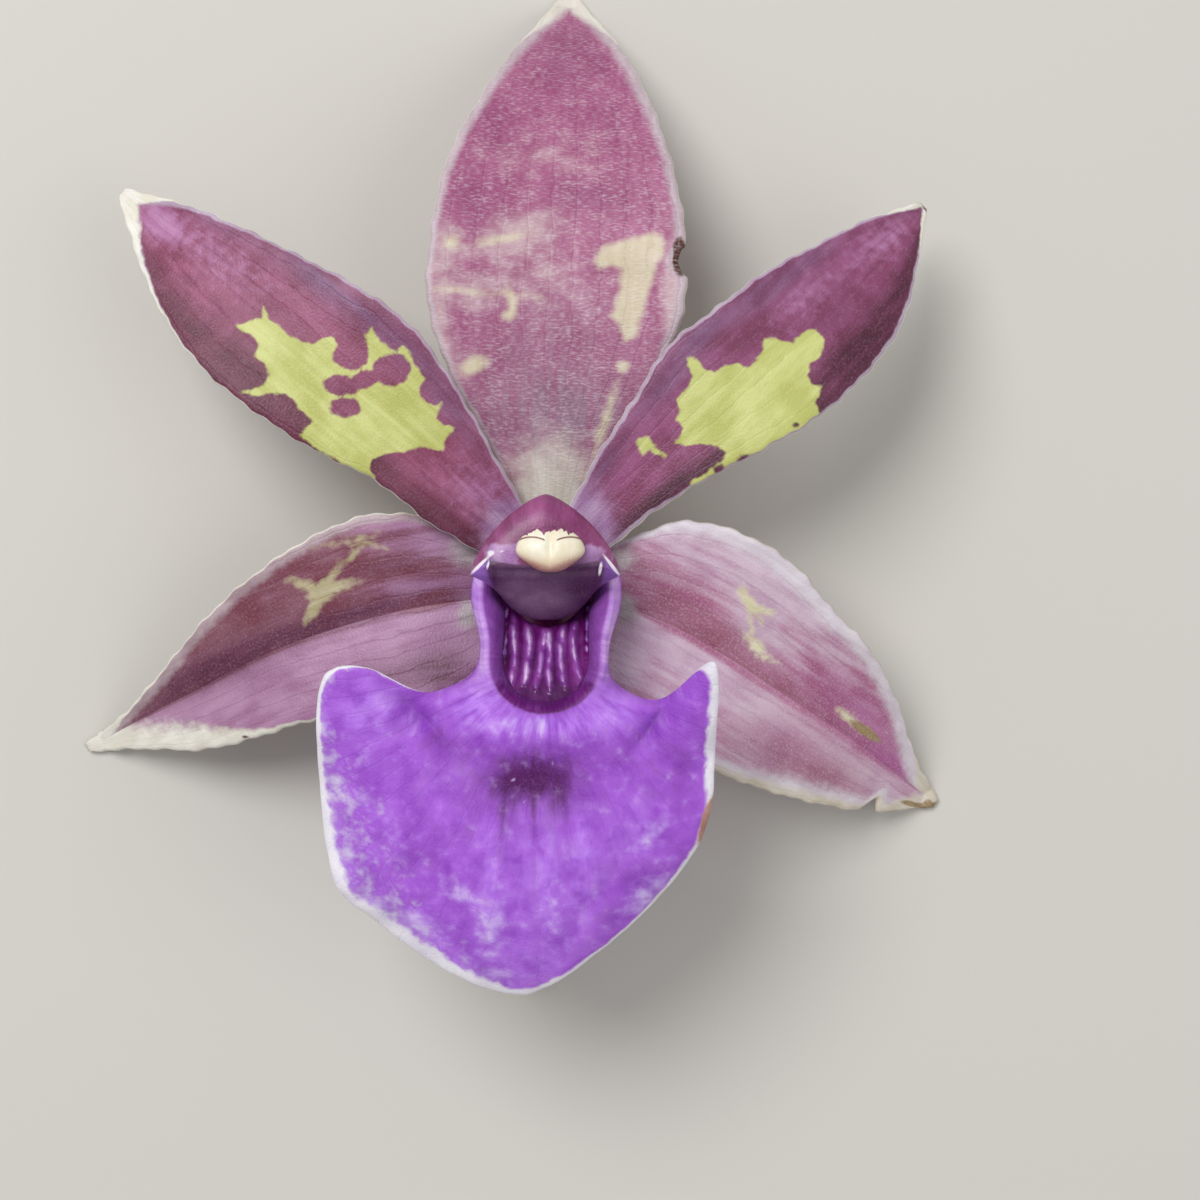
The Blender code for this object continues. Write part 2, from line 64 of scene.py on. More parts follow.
def grid(columns, rows):
    """Two numbers over a grid, each from 0 to 1: across grows with the column, along with the row."""
    return np.meshgrid(np.linspace(0, 1, columns), np.linspace(0, 1, rows))


def smooth_through(values, t):
    """A smooth (Catmull-Rom) curve through evenly spaced values, read at each t from 0 to 1."""
    points = np.asarray(values, float)
    padded = np.concatenate([2 * points[:1] - points[1:2], points, 2 * points[-1:] - points[-2:-1]])
    place = np.clip(t, 0, 1) * (len(points) - 1)
    span = np.minimum(place.astype(int), len(points) - 2)
    f = place - span
    if points.ndim > 1:
        f = f[..., None]
    a, b, c, d = (padded[span + k] for k in range(4))
    return b + f / 2 * (c - a + f * (2 * a - 5 * b + 4 * c - d + f * (3 * b - 3 * c + d - a)))


def ease(value, start, end):
    """0 before start, 1 after end, and 3s^2 - 2s^3 between, where s is the share of the way."""
    s = np.clip((value - start) / (end - start), 0, 1)
    return s * s * (3 - 2 * s)


def facing(points):
    """The direction a grid faces: the cross product of its step across and its step along, made one long."""
    step_along, step_across = np.gradient(points, axis=(0, 1))
    normal = np.cross(step_across, step_along)
    return normal / np.maximum(np.linalg.norm(normal, axis=2, keepdims=True), 1e-9)


def quads(index):
    """The four-sided faces between the points of a grid, given as a grid of point numbers."""
    corners = [index[:-1, :-1], index[:-1, 1:], index[1:, 1:], index[1:, :-1]]
    return np.stack(corners, axis=-1).reshape(-1, 4)


def closed_pair(upper, lower):
    """A solid between two grids that share the upper grid's edge.

    It comes as points, faces, the grid number that each point came from, and 1 for each point underneath.
    """
    count = upper.shape[0] * upper.shape[1]
    index = np.arange(count).reshape(upper.shape[:2])
    under = index.copy()
    inner = index[1:-1, 1:-1].ravel()
    under[1:-1, 1:-1] = count + np.arange(len(inner)).reshape(under[1:-1, 1:-1].shape)
    points = np.concatenate([upper.reshape(-1, 3), lower[1:-1, 1:-1].reshape(-1, 3)])
    faces = np.concatenate([quads(index), quads(under)[:, ::-1]])
    source = np.concatenate([index.ravel(), inner])
    back = np.arange(len(source)) >= count
    return points, faces.tolist(), source, back


def closed_sheet(middle, half_thickness):
    """A leaf of tissue: the middle grid moved half a thickness to each side, closed along its edge."""
    step = facing(middle) * half_thickness[..., None]
    return closed_pair(middle + step, middle - step)


print("helpers for grids and sheets are ready")

# %% [markdown]
# ## Patterns that belong to the surface
# The blotches, the pale margins and the dark zones of a flower sit on its tissue, not in space. Each
# point of a mesh therefore carries a few numbers, such as its distance to the margin or how far it is
# inside a blotch. The materials read these numbers and add the ragged detail. Two flat maps, roughly in mm,
# go with them: one that follows the surface, and one that follows its growth, for streaks and rays.

# %% Helpers for patterns


def inside_outline(x, y, outline):
    """How far a point is inside an outline, in mm: the distance to its nearest side, negative outside."""
    start = np.array(outline, float)
    end = np.roll(start, -1, axis=0)
    run = end - start
    px, py = x[..., None], y[..., None]
    share = ((px - start[:, 0]) * run[:, 0] + (py - start[:, 1]) * run[:, 1]) / (run**2).sum(1)
    share = np.clip(share, 0, 1)
    gap = np.hypot(px - start[:, 0] - share * run[:, 0], py - start[:, 1] - share * run[:, 1])
    crossed = (start[:, 1] > py) != (end[:, 1] > py)
    level = np.where(run[:, 1] == 0, 1e-9, run[:, 1])
    to_right = px < start[:, 0] + (py - start[:, 1]) * run[:, 0] / level
    inside = (crossed & to_right).sum(-1) % 2 == 1
    return np.where(inside, gap.min(-1), -gap.min(-1))


def turned(dx, dy, degrees):
    """A step (dx, dy) seen along a direction turned by so many degrees, and square to it."""
    turn = math.radians(degrees)
    return dx * math.cos(turn) + dy * math.sin(turn), dy * math.cos(turn) - dx * math.sin(turn)


def inside_ovals(x, y, ovals):
    """How far a point is inside the nearest oval (x, y, half-length, half-width, turn), roughly in mm."""
    depth = np.full_like(x, -20.0)
    for oval in ovals:
        across, along = turned(x - oval[0], y - oval[1], oval[4])
        inside = (1 - np.hypot(across / oval[2], along / oval[3])) * min(oval[2], oval[3])
        depth = np.maximum(depth, inside)
    return depth


def soft_spots(x, y, spots):
    """Sum of soft ovals (x, y, half-length, half-width, turn, strength): strength * exp(-dx^2 - dy^2)."""
    total = np.zeros_like(x)
    for spot in spots:
        across, along = turned(x - spot[0], y - spot[1], spot[4])
        total += spot[5] * np.exp(-((across / spot[2]) ** 2) - (along / spot[3]) ** 2)
    return total


print("helpers for patterns are ready")

# %% [markdown]
# ## From a grid to a piece
# The points of a piece, its pattern numbers and its flat maps all come from one grid. Its object stays at
# the origin, unturned, so the mesh alone says where the piece is. The volume inside the mesh is printed,
# because it comes out positive only where the faces point outwards.

# %% Helper for pieces


def make_piece(name, shape, material, slot, replaced, surface, flow=None, **values):
    """Puts a shape into a mesh. The maps are pairs of grids, and each value is a number for each point.

    The flow map is the surface map unless the tissue grows another way.
    """
    points, faces, source, back = shape
    mesh = bpy.data.meshes.new(name)
    mesh.from_pydata(((points + FLOWER_AXIS) * MM).tolist(), [], faces)
    mesh.shade_smooth()
    mesh.materials.append(material)
    on_points = {key: value.ravel()[source] for key, value in values.items()}
    for key, value in {**on_points, "back": back}.items():
        stored = mesh.attributes.new(name=key, type="FLOAT", domain="POINT")
        stored.data.foreach_set("value", value.astype(np.float32))
    corner = np.zeros(len(mesh.loops), np.int32)
    mesh.loops.foreach_get("vertex_index", corner)
    for key, (u, v) in {"surface": surface, "flow": flow or surface}.items():
        pair = np.stack([u.ravel(), v.ravel()], axis=1)[source]
        flat_map = mesh.uv_layers.new(name=key)
        flat_map.data.foreach_set("uv", pair[corner].astype(np.float32).ravel())
    piece = bpy.data.objects.new(name, mesh)
    bpy.context.scene.collection.objects.link(piece)
    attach(piece, "root")
    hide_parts(replaced)
    solid = bmesh.new()
    solid.from_mesh(mesh)
    volume = solid.calc_volume(signed=True) / MM**3
    solid.free()
    print(f"{name}: {len(points)} points, {volume:.1f} mm3, positive when its faces point outwards")


print("helper for pieces is ready")

# %% [markdown]
# ## Colours and nodes
# A colour picked from a picture is an sRGB value, and Blender's shaders work with linear light, so
# one function turns a hex code into linear numbers. Another small function adds a shader node and joins it
# up, so that a material reads as a list of what each layer does.

# %% Helpers for materials


def linear(code):
    """A hex colour as linear light: c / 12.92 below 0.04045, else ((c + 0.055) / 1.055)^2.4."""
    parts = np.array([int(code[k : k + 2], 16) / 255 for k in (1, 3, 5)])
    light = np.where(parts <= 0.04045, parts / 12.92, ((parts + 0.055) / 1.055) ** 2.4)
    return (*light.tolist(), 1.0)


def add_node(tree, kind, inputs, output=0, **settings):
    """Adds a shader node with its settings, and gives one of its outputs, by its place or its name.

    Each input is a plain value or another node's output.
    """
    made = tree.nodes.new("ShaderNode" + kind)
    for key, value in settings.items():
        setattr(made, key, value)
    for key, value in inputs.items():
        if isinstance(value, bpy.types.NodeSocket):
            tree.links.new(value, made.inputs[key])
        else:
            made.inputs[key].default_value = value
    return made.outputs[output]


def new_skin(name, **constants):
    """A material and its Principled shader, whose sockets that are the same all over are set here."""
    skin = bpy.data.materials.new(name)
    skin.use_nodes = True
    shader = skin.node_tree.nodes["Principled BSDF"]
    for key, value in constants.items():
        shader.inputs[key.replace("_", " ")].default_value = value
    return skin, shader


print("violet as linear light:", [round(part, 3) for part in linear("#9A5AC8")])

# %% [markdown]
# ## One recipe for living tissue
# Every surface here is plant skin: watery tissue under a layer of tiny domed cells that hold the pigment.
# So one recipe serves them all, from the satin sepals to the wet callus. It starts from flat noises on the
# two maps: streaks that follow the growth, broad clouds, ragged patches, and the cells themselves. Veins are
# the lines where a pattern number is whole, and the clouds make them wander.

# %% Noises and veins
# Skin cells are about 0.05 mm wide, too fine to show, so they are drawn 0.2 mm wide
CELL_MM = 0.2
# Each noise: the map it reads, how the map is stretched, the noise's features for each mm, and its detail
NOISES = {
    "streaks": ("flow", (1.5, 0.16, 1), 1.0, 4),
    "clouds": ("surface", (1, 1, 1), 0.3, 3),
    "ragged": ("surface", (1, 1, 1), 1.3, 4),
    "cells": ("surface", (1, 1, 1), 1 / CELL_MM, 2.5),
}
# How far a vein reaches from a whole number, and how much the clouds move it
VEIN_HALF_WIDTH, VEIN_WANDER = 0.08, 0.5


def tissue_noises(tree, changes):
    """Each noise as a number over the skin: its map times its stretch, put into a flat noise."""
    maps = {key: add_node(tree, "UVMap", {}, uv_map=key) for key in ("surface", "flow")}
    noise = {}
    for key, (where, stretch, scale, detail) in {**NOISES, **changes}.items():
        place = add_node(tree, "VectorMath", {0: maps[where], 1: stretch}, operation="MULTIPLY")
        inputs = {"Vector": place, "Scale": scale, "Detail": detail}
        noise[key] = add_node(tree, "TexNoise", inputs, noise_dimensions="2D")
    return noise


def vein_lines(tree, clouds):
    """1 on a vein and 0 between veins: how near the vein number + wander * clouds is to a whole number."""
    number = add_node(tree, "Attribute", {}, "Fac", attribute_name="vein")
    moved = add_node(tree, "Math", {0: clouds, 1: VEIN_WANDER, 2: number}, operation="MULTIPLY_ADD")
    off_vein = add_node(tree, "Math", {0: moved, 1: 0.5}, operation="PINGPONG")
    inputs = {"Value": off_vein, "From Min": VEIN_HALF_WIDTH, "From Max": 0.0}
    return add_node(tree, "MapRange", inputs, interpolation_type="SMOOTHSTEP")


print("skin cells are drawn", CELL_MM, "mm wide")

# %% [markdown]
# ## Washes of colour
# Pigment lies in zones that run into each other, so tints are laid over each other like washes of paint.
# Each wash goes where its pattern number says, with an edge roughened by a noise. A painted picture could
# do the same, but numbers on the points follow the surface by themselves, and a noise stays sharp near by.

# %% Washes
PLAIN_LAYER = {"noise": "ragged", "rough": 0.0, "low": 0.0, "high": 1.0, "fade": (1.0, 1.0)}


def layer(key, tints, **changes):
    """One wash: tints go on where number + rough * noise passes from low to high, times fade by the noise."""
    return {**PLAIN_LAYER, "key": key, "tints": tints, **changes}


def wash_over(tree, wash, number, noise, tone, colour):
    """The colour with one wash laid over it, thin where the streaks are low and full where they are high."""
    inputs = {0: noise[wash["noise"]], 1: wash["rough"], 2: number}
    depth = add_node(tree, "Math", inputs, operation="MULTIPLY_ADD")
    inputs = {"Value": depth, "From Min": wash["low"], "From Max": wash["high"]}
    border = "SMOOTHSTEP" if wash["rough"] else "LINEAR"
    share = add_node(tree, "MapRange", inputs, interpolation_type=border)
    thin, full = wash["fade"]
    inputs = {"Value": noise["streaks"], "From Min": 0.3, "From Max": 0.7, "To Min": thin, "To Max": full}
    uneven = add_node(tree, "MapRange", inputs)
    amount = add_node(tree, "Math", {0: share, 1: uneven}, operation="MULTIPLY", use_clamp=True)
    dark, pale = wash["tints"]
    tint = add_node(tree, "Mix", {0: tone, 6: linear(dark), 7: linear(pale)}, 2, data_type="RGBA")
    return add_node(tree, "Mix", {0: amount, 6: colour, 7: tint}, 2, data_type="RGBA")


print("a plain wash:", PLAIN_LAYER)

# %% [markdown]
# ## The whole skin
# Two tones are mixed by the streaks and the clouds, and the washes go over them. Last come painted glints,
# a pale tint where the cells catch the light, in patches, and the cells' relief. Light passes a little way
# into the tissue before it comes back out, and red light goes furthest.

# %% Tissue recipe
# How far red, green and blue light pass in, against each other
LIGHT_PATH = (1.0, 0.45, 0.6)
# How much the streaks count in the mix of the two tones, against the clouds
STREAK_WEIGHT = 0.7
# The height of a cell, and how far a vein lies sunken, against that height
CELL_HEIGHT_MM, VEIN_HEIGHT = 0.1, -0.5


def tissue_skin(name, look):
    """Two streaked tones, then each layer of look in turn, then the painted glints and the relief of the
    cells.
    """
    skin, shader = new_skin(name, Subsurface_Radius=LIGHT_PATH, **look["gloss"])
    tree = skin.node_tree
    noise = tissue_noises(tree, look.get("noises", {}))
    inputs = {0: noise["streaks"], 1: STREAK_WEIGHT, 2: noise["clouds"]}
    blend = add_node(tree, "Math", inputs, operation="MULTIPLY_ADD")
    low, high = look["contrast"]
    tone = add_node(tree, "MapRange", {"Value": blend, "From Min": low, "From Max": high})
    body, light = look["body"]
    colour = add_node(tree, "Mix", {0: tone, 6: linear(body), 7: linear(light)}, 2, data_type="RGBA")
    vein = vein_lines(tree, noise["clouds"])
    for wash in look["layers"]:
        number = vein
        if wash["key"] != "vein":
            number = add_node(tree, "Attribute", {}, "Fac", attribute_name=wash["key"])
        colour = wash_over(tree, wash, number, noise, tone, colour)

    # Painted glints: a pale tint where cells catch the light, in patches, more where the ragged noise is high
    painted_glint, glint_tint = look["painted_glint"]
    few, many = 0.5 * painted_glint, 1.3 * painted_glint
    inputs = {"Value": noise["ragged"], "From Min": 0.35, "From Max": 0.65, "To Min": few, "To Max": many}
    most = add_node(tree, "MapRange", inputs)
    inputs = {"Value": noise["cells"], "From Min": 0.45, "From Max": 0.75, "To Max": most}
    glint = add_node(tree, "MapRange", inputs)
    colour = add_node(tree, "Mix", {0: glint, 6: colour, 7: linear(glint_tint)}, 2, data_type="RGBA")
    tree.links.new(colour, shader.inputs["Base Color"])

    # Relief: domed cells, and veins that lie a little sunken
    inputs = {0: vein, 1: VEIN_HEIGHT, 2: noise["cells"]}
    height = add_node(tree, "Math", inputs, operation="MULTIPLY_ADD")
    inputs = {"Strength": look["relief"], "Distance": CELL_HEIGHT_MM * MM, "Height": height}
    tree.links.new(add_node(tree, "Bump", inputs), shader.inputs["Normal"])

    # Wet tissue, such as the throat of the lip, is smoother
    if "wet" in look:
        key, dry, wet = look["wet"]
        number = add_node(tree, "Attribute", {}, "Fac", attribute_name=key)
        roughness = add_node(tree, "MapRange", {"Value": number, "To Min": dry, "To Max": wet})
        tree.links.new(roughness, shader.inputs["Roughness"])
    return skin


print("tissue recipe ready: a cell's relief is", CELL_HEIGHT_MM, "mm high")

# %% [markdown]
# ## The camera
# The photograph was taken straight into the flower's face. The flower lies on its back here, so the camera
# looks straight down, with the top sepal at the top of the picture. It stands 192 mm above the surface,
# near enough for the lip and the column, which stand 20 mm high, to look a tenth larger than they are.

# %% Camera
CAMERA_PLACE = FLOWER_AXIS + [4.32, -3.32, 192]
# This lens, on a sensor 36 mm wide, shows the flower as large as the photograph does
LENS_MM = 65.07
camera_data = bpy.data.cameras.new("camera")
camera_data.sensor_width = 36
camera_data.lens = LENS_MM
camera_data.clip_start = 0.01
camera = bpy.data.objects.new("camera", camera_data)
camera.location = CAMERA_PLACE * MM
bpy.context.scene.collection.objects.link(camera)
bpy.context.scene.camera = camera
print("camera height in mm:", round(camera.location.z / MM))

# %% [markdown]
# ## The shape of a blade
# Every sepal and petal is the same idea: a midrib curve in space, spread to both sides by half-widths
# that grow and shrink along it. Then it is cupped (a parabola across), folded at the midrib (a V across)
# and waved a little at its margins, as growing tissue is. A solid leaf of it is 0.8 mm thick in the
# middle and thins out to a rounded rim. Carving each one by hand would lose that family likeness, so one
# function makes all five from a few numbers each.

# %% Blade shape
BLADE_THICKNESS = 0.8
WAVES_PER_BLADE = 2.5
BLADE_COLUMNS, BLADE_ROWS = 111, 171
LEAST_HALF_WIDTH = 0.2
RIM_WANDER = 0.06
# The root: its share of the blade, how far it runs on inwards, and how much it drops on the way
ROOT_SHARE, ROOT_REACH, ROOT_DROP = 0.1, 1.2, 0.3


def blade_middle(spec, across, along):
    """The middle of a blade: midrib + sideways * half-width * side, lifted by cup, fold and waves."""
    rib = smooth_through(spec["midrib"], along)
    ahead = smooth_through(spec["midrib"], np.minimum(along + 0.01, 1))
    behind = smooth_through(spec["midrib"], np.maximum(along - 0.01, 0))
    run = (ahead - behind)[..., :2]
    run /= np.linalg.norm(run, axis=2, keepdims=True)
    side = across * 2 - 1
    left, right = smooth_through(spec["left"], along), smooth_through(spec["right"], along)
    for power, centre, length, depth in spec["notches"]:
        right = right - depth * np.clip(1 - np.abs(along - centre) / length, 0, 1) ** power
    half_width = np.maximum(np.where(side < 0, left, right), LEAST_HALF_WIDTH)
    # The rim wanders by a tenth of a millimetre, as a grown edge does
    wander = np.sin(2 * np.pi * (11 * along + 0.3 * side)) + np.sin(2 * np.pi * (23 * along + 0.7))
    reach = half_width * side + RIM_WANDER * wander * side**9
    x = rib[..., 0] + run[..., 1] * reach
    y = rib[..., 1] - run[..., 0] * reach
    ripple = spec["wave"] * np.sin(2 * np.pi * WAVES_PER_BLADE * along + side) * np.abs(side) ** 3
    lift = spec["cup"] * reach * side + spec["fold"] * np.abs(reach) + ripple * (1 - along**4) * along
    z = np.maximum(rib[..., 2] + lift, BLADE_THICKNESS / 2)
    # The root runs on towards the flower's centre, where it joins the others
    pull = ROOT_REACH * np.clip(1 - along / ROOT_SHARE, 0, 1) ** 2
    x, y, z = x - run[..., 0] * pull, y - run[..., 1] * pull, z - ROOT_DROP * pull
    return np.stack([x, y, z], axis=-1), side, half_width, reach


print("blade shape ready:", BLADE_COLUMNS, "by", BLADE_ROWS, "points a side")

# %% [markdown]
# ## The colours of a blade
# The blades share one order of washes, from the inside of the tissue outwards: pale, dark and violet zones,
# a whitish root, painted shade where the root lies under the column, veins, yellow-green blotches, a pale
# margin with a cream rim, dried scars, and a paler, greener back. On the lateral sepals the pale zones also
# hold painted light on the half that faces the light, and on the petals the violet zones are a painted sheen.
# The skin is satin: its domed cells scatter part of the light, which gives a broad, soft highlight.

# %% Blade colours
SATIN = {
    "Roughness": 0.42, "Specular_IOR_Level": 0.4, "Sheen_Weight": 0.07, "Sheen_Roughness": 0.4,
    "Subsurface_Weight": 0.12, "Subsurface_Scale": 0.8 * MM,
}
# Where the ragged border between the cream rim and the tissue lies, once the noise is added
RIM_BORDER = 1.35
# Painted shade where the roots lie under the column and the lip, and the tints of the paler back
SHADE_UNDER_COLUMN, BLADE_BACK = ("#4E1038", "#641A4C"), ("#94807A", "#A6948A")


def blade_look(
    tints, soft, margin_soft, painted_glint, rag=0.7, strength=1.0, vein=0.12, pale_noise="ragged", **changes
):
    """The washes of a blade, from a table of tints and how ragged, soft and strong the blotches are."""
    blotch = {"rough": rag, "low": rag / 2 - soft, "high": rag / 2 + soft, "fade": (strength, strength)}
    rim = {"rough": 0.7, "low": RIM_BORDER + margin_soft, "high": RIM_BORDER - margin_soft}
    return {
        "gloss": SATIN,
        "body": tints["body"],
        "contrast": (0.65, 1.05),
        "layers": [
            # The pale zones, and painted light on the half of a folded sepal that faces the light
            layer("pale", tints["pale"], noise=pale_noise, rough=0.9, low=0.45, high=1.3),
            layer("dark", tints["dark"], fade=(0.6, 1.4)),
            # Violet zones; on the petals they are a painted sheen along the upper margins
            layer("violet", tints["violet"], fade=(0.6, 1.4)),
            layer("root", tints["root"], rough=0.4, low=0.4, high=1.1),
            # Painted shade under the column and the lip
            layer("shade_under_column", SHADE_UNDER_COLUMN),
            layer("vein", (tints["vein"], tints["vein"]), fade=(vein, vein)),
            layer("blotch", tints["blotch"], **blotch),
            layer("edge", tints["margin"], fade=(0.9, 0.9), **rim),
            layer("cream", tints["cream"], **rim),
            layer("scar", tints["scar"], rough=0.6, low=0.55, high=0.9),
            layer("back", BLADE_BACK, fade=(0.55, 0.55)),
        ],
        "painted_glint": (painted_glint, tints["painted_glint"]),
        "relief": 0.5,
        **changes,
    }


print("blade rim lies where the pattern number passes", RIM_BORDER)

# %% [markdown]
# ## Where a blade's colours lie
# Every mark is placed in mm. A rim is a distance to the blade's edge, a blotch is an outline or a few ovals,
# and a zone is a few soft ovals. What a blade's table leaves out comes from a plain blade's.

# %% Blade patterns and blade function
SOFT_KEYS = ("pale", "dark", "violet", "root", "shade_under_column", "scar")
PLAIN_BLADE = {
    "notches": [], "patches": [], "spots": [], "freckles": [], "veins": 5.0, "lit_halves": (0.0, 0.0),
    "dark_halves": (0.0, 0.0), "crease": (0.0, 0.0),
}


def blade_patterns(spec, points, side, half_width, along):
    """The pattern numbers of a blade, from the place of each point on it."""
    x, y = points[..., 0], points[..., 1]
    length = np.linalg.norm(np.diff(np.array(spec["midrib"]), axis=0), axis=1).sum()
    to_rim = np.minimum((1 - np.abs(side)) * half_width, (1 - along) * length)
    bands = [smooth_through(spec[key], along) for key in ("left_band", "right_band")]
    edge = to_rim / np.where(side < 0, *bands)
    blotch = inside_ovals(x, y, spec["spots"])
    for outline in spec["patches"]:
        blotch = np.maximum(blotch, inside_outline(x, y, outline))
    blotch = np.minimum(blotch, -inside_ovals(x, y, spec["freckles"]))
    warm = np.where(side < 0, *spec["warm"]) + ease(along, 0.86, 0.97)
    # Painted light: the half of a folded blade that faces the light is drawn paler
    pale = np.where(side < 0, *spec["lit_halves"]) * ease(np.abs(side), 0.0, 0.12)
    dark = np.where(side < 0, *spec["dark_halves"]) * ease(np.abs(side), 0.35, 0.9)
    # The half above a crease lies in its own shade next to the crease
    dark = dark + np.where(side < 0, *spec["crease"]) * (1 - ease(np.abs(side), 0.0, 0.35))
    soft = {key: soft_spots(x, y, spec["soft"].get(key, [])) for key in SOFT_KEYS}
    return {
        **soft,
        "pale": pale + soft["pale"],
        "dark": dark + soft["dark"],
        "edge": edge,
        "cream": edge / np.clip(warm, 0.02, 1.2),
        "blotch": blotch,
        "vein": side * spec["veins"],
    }


def add_blade(name, changes, slot):
    """Makes one blade, its patterns and its tissue, in place of the solid piece of the same name."""
    spec = {**PLAIN_BLADE, **changes}
    across, along = grid(BLADE_COLUMNS, BLADE_ROWS)
    points, side, half_width, reach = blade_middle(spec, across, along)
    rounded = np.sqrt(np.clip(1 - np.abs(side) ** 14, 0, 1)) * np.sqrt(np.clip(1 - along**60, 0, 1))
    rounded[0] = 0
    travel = np.linalg.norm(np.diff(points[:, BLADE_COLUMNS // 2], axis=0), axis=1)
    down = np.concatenate([[0], np.cumsum(travel)])[:, None] + 0 * across
    make_piece(
        name + "_blade", closed_sheet(points, BLADE_THICKNESS / 2 * rounded),
        tissue_skin(name + "_satin_tissue", spec["look"]), slot, name, surface=(reach, down),
        **blade_patterns(spec, points, side, half_width, along),
    )


print("soft zones of a blade:", ", ".join(SOFT_KEYS))

# %% [markdown]
# ## The dorsal sepal
# The top sepal is the largest: rosy plum, with a cream rim, a whitish base where it meets the column, a
# few pale-yellow patches on both sides and a small bite out of its right edge. Its midrib is nearly
# straight. Painted glints, where the cells catch the light, run across it in short streaks.

# %% Dorsal sepal
DORSAL_TINTS = {
    "body": ("#96406F", "#B26890"), "pale": ("#C09AA6", "#D0B6BA"), "dark": ("#85376A", "#964A76"),
    "violet": ("#825A72", "#9E7A90"), "root": ("#BEB6AA", "#D9D6C8"), "vein": "#7A3A68",
    "blotch": ("#D6D2A8", "#EAE6C2"), "margin": ("#B8A6AE", "#CDBFC6"), "cream": ("#D6CFC0", "#EBE7DC"),
    "scar": ("#3E2014", "#5A3020"), "painted_glint": "#EAD8E6",
}
DORSAL_SEPAL = {
    "midrib": [
        (0.0, 3.5, 11.5), (0.3, 15.0, 12.7), (0.8, 27.0, 12.2), (1.2, 39.0, 8.0), (1.6, 50.0, -0.6),
    ],
    "left": [2.4, 4.9, 8.4, 10.5, 10.4, 9.4, 7.0, 4.1, 0.8],
    "right": [2.4, 4.9, 8.5, 10.7, 10.6, 9.4, 7.4, 4.7, 0.8],
    "cup": 0.10,
    "fold": 0.02,
    "wave": 0.25,
    "notches": [(0.6, 0.456, 0.026, 0.95)],
    "left_band": [0.3, 0.4, 0.5, 0.5, 0.55, 0.7, 0.9, 1.2, 1.8],
    "right_band": [0.3, 0.4, 0.6, 0.8, 0.8, 0.8, 1.0, 1.2, 1.8],
    "warm": (0.1, 0.1),
    "patches": [
        [
            (3.9, 24.8), (4.6, 25.8), (6.5, 26.3), (8.2, 26.7), (9.5, 26.7), (9.6, 25.4), (9.0, 24.1),
            (8.7, 22.7), (8.2, 21.3), (7.8, 20.0), (7.4, 18.4), (6.5, 18.0), (6.0, 19.2), (5.3, 20.0),
            (5.8, 21.4), (6.0, 22.7), (6.2, 23.8), (5.3, 24.1), (4.2, 23.9),
        ],
        [
            (-3.9, 22.2), (-2.9, 22.2), (-2.5, 21.4), (-2.6, 20.4), (-3.1, 19.6), (-4.0, 20.0),
            (-3.2, 20.7), (-3.3, 21.5),
        ],
    ],
    "spots": [
        (-4.0, 26.4, 1.6, 0.3, 12), (-8.0, 26.1, 0.6, 0.4, 0), (-6.2, 15.9, 1.1, 0.7, 30),
        (6.3, 15.9, 0.45, 0.45, 0), (4.8, 11.4, 0.3, 2.2, -18), (-6.0, 22.0, 2.0, 0.12, -4),
    ],
    "soft": {
        "pale": [
            (0.6, 7.0, 4.5, 5.0, 0, 0.6), (10.3, 21.5, 0.8, 4.5, 0, 0.9), (-9.0, 19.0, 1.0, 5.0, 0, 0.7),
            (-2.5, 27.0, 3.5, 1.6, 20, 0.8), (-0.5, 23.0, 5.5, 3.5, 0, 0.4), (-6.5, 22.0, 3.0, 1.5, 0, 0.45),
            (-8.5, 26.0, 1.5, 2.0, 0, 0.6), (0.0, 33.5, 6.0, 2.2, 0, 0.3), (-7.0, 16.0, 2.0, 2.0, 0, 0.4),
        ],
        "dark": [
            (1.5, 43.0, 3.0, 3.5, 0, 0.6), (-6.5, 29.5, 2.0, 2.0, 0, 0.55), (3.0, 30.0, 4.0, 1.5, 0, 0.5),
            (-5.0, 36.0, 3.0, 2.5, 0, 0.3), (5.5, 37.0, 2.5, 3.0, 0, 0.3),
        ],
        "violet": [(0.3, 12.0, 7.0, 4.5, 0, 0.95), (0.5, 19.0, 6.0, 3.0, 0, 0.35)],
        "root": [(0.4, 3.8, 4.8, 7.0, 0, 1.05)],
        "scar": [(10.9, 24.9, 0.5, 1.5, 0, 1.4)],
    },
    "look": blade_look(
        DORSAL_TINTS, soft=0.4, margin_soft=0.5, painted_glint=0.34, strength=0.75, vein=0.08, contrast=(0.5, 1.2),
        noises={
            "cells": ("surface", (0.4, 1.2, 1), 1 / CELL_MM, 4), "ragged": ("surface", (0.6, 1, 1), 0.9, 6),
        },
    ),
}
add_blade("dorsal_sepal", DORSAL_SEPAL, "sepal")
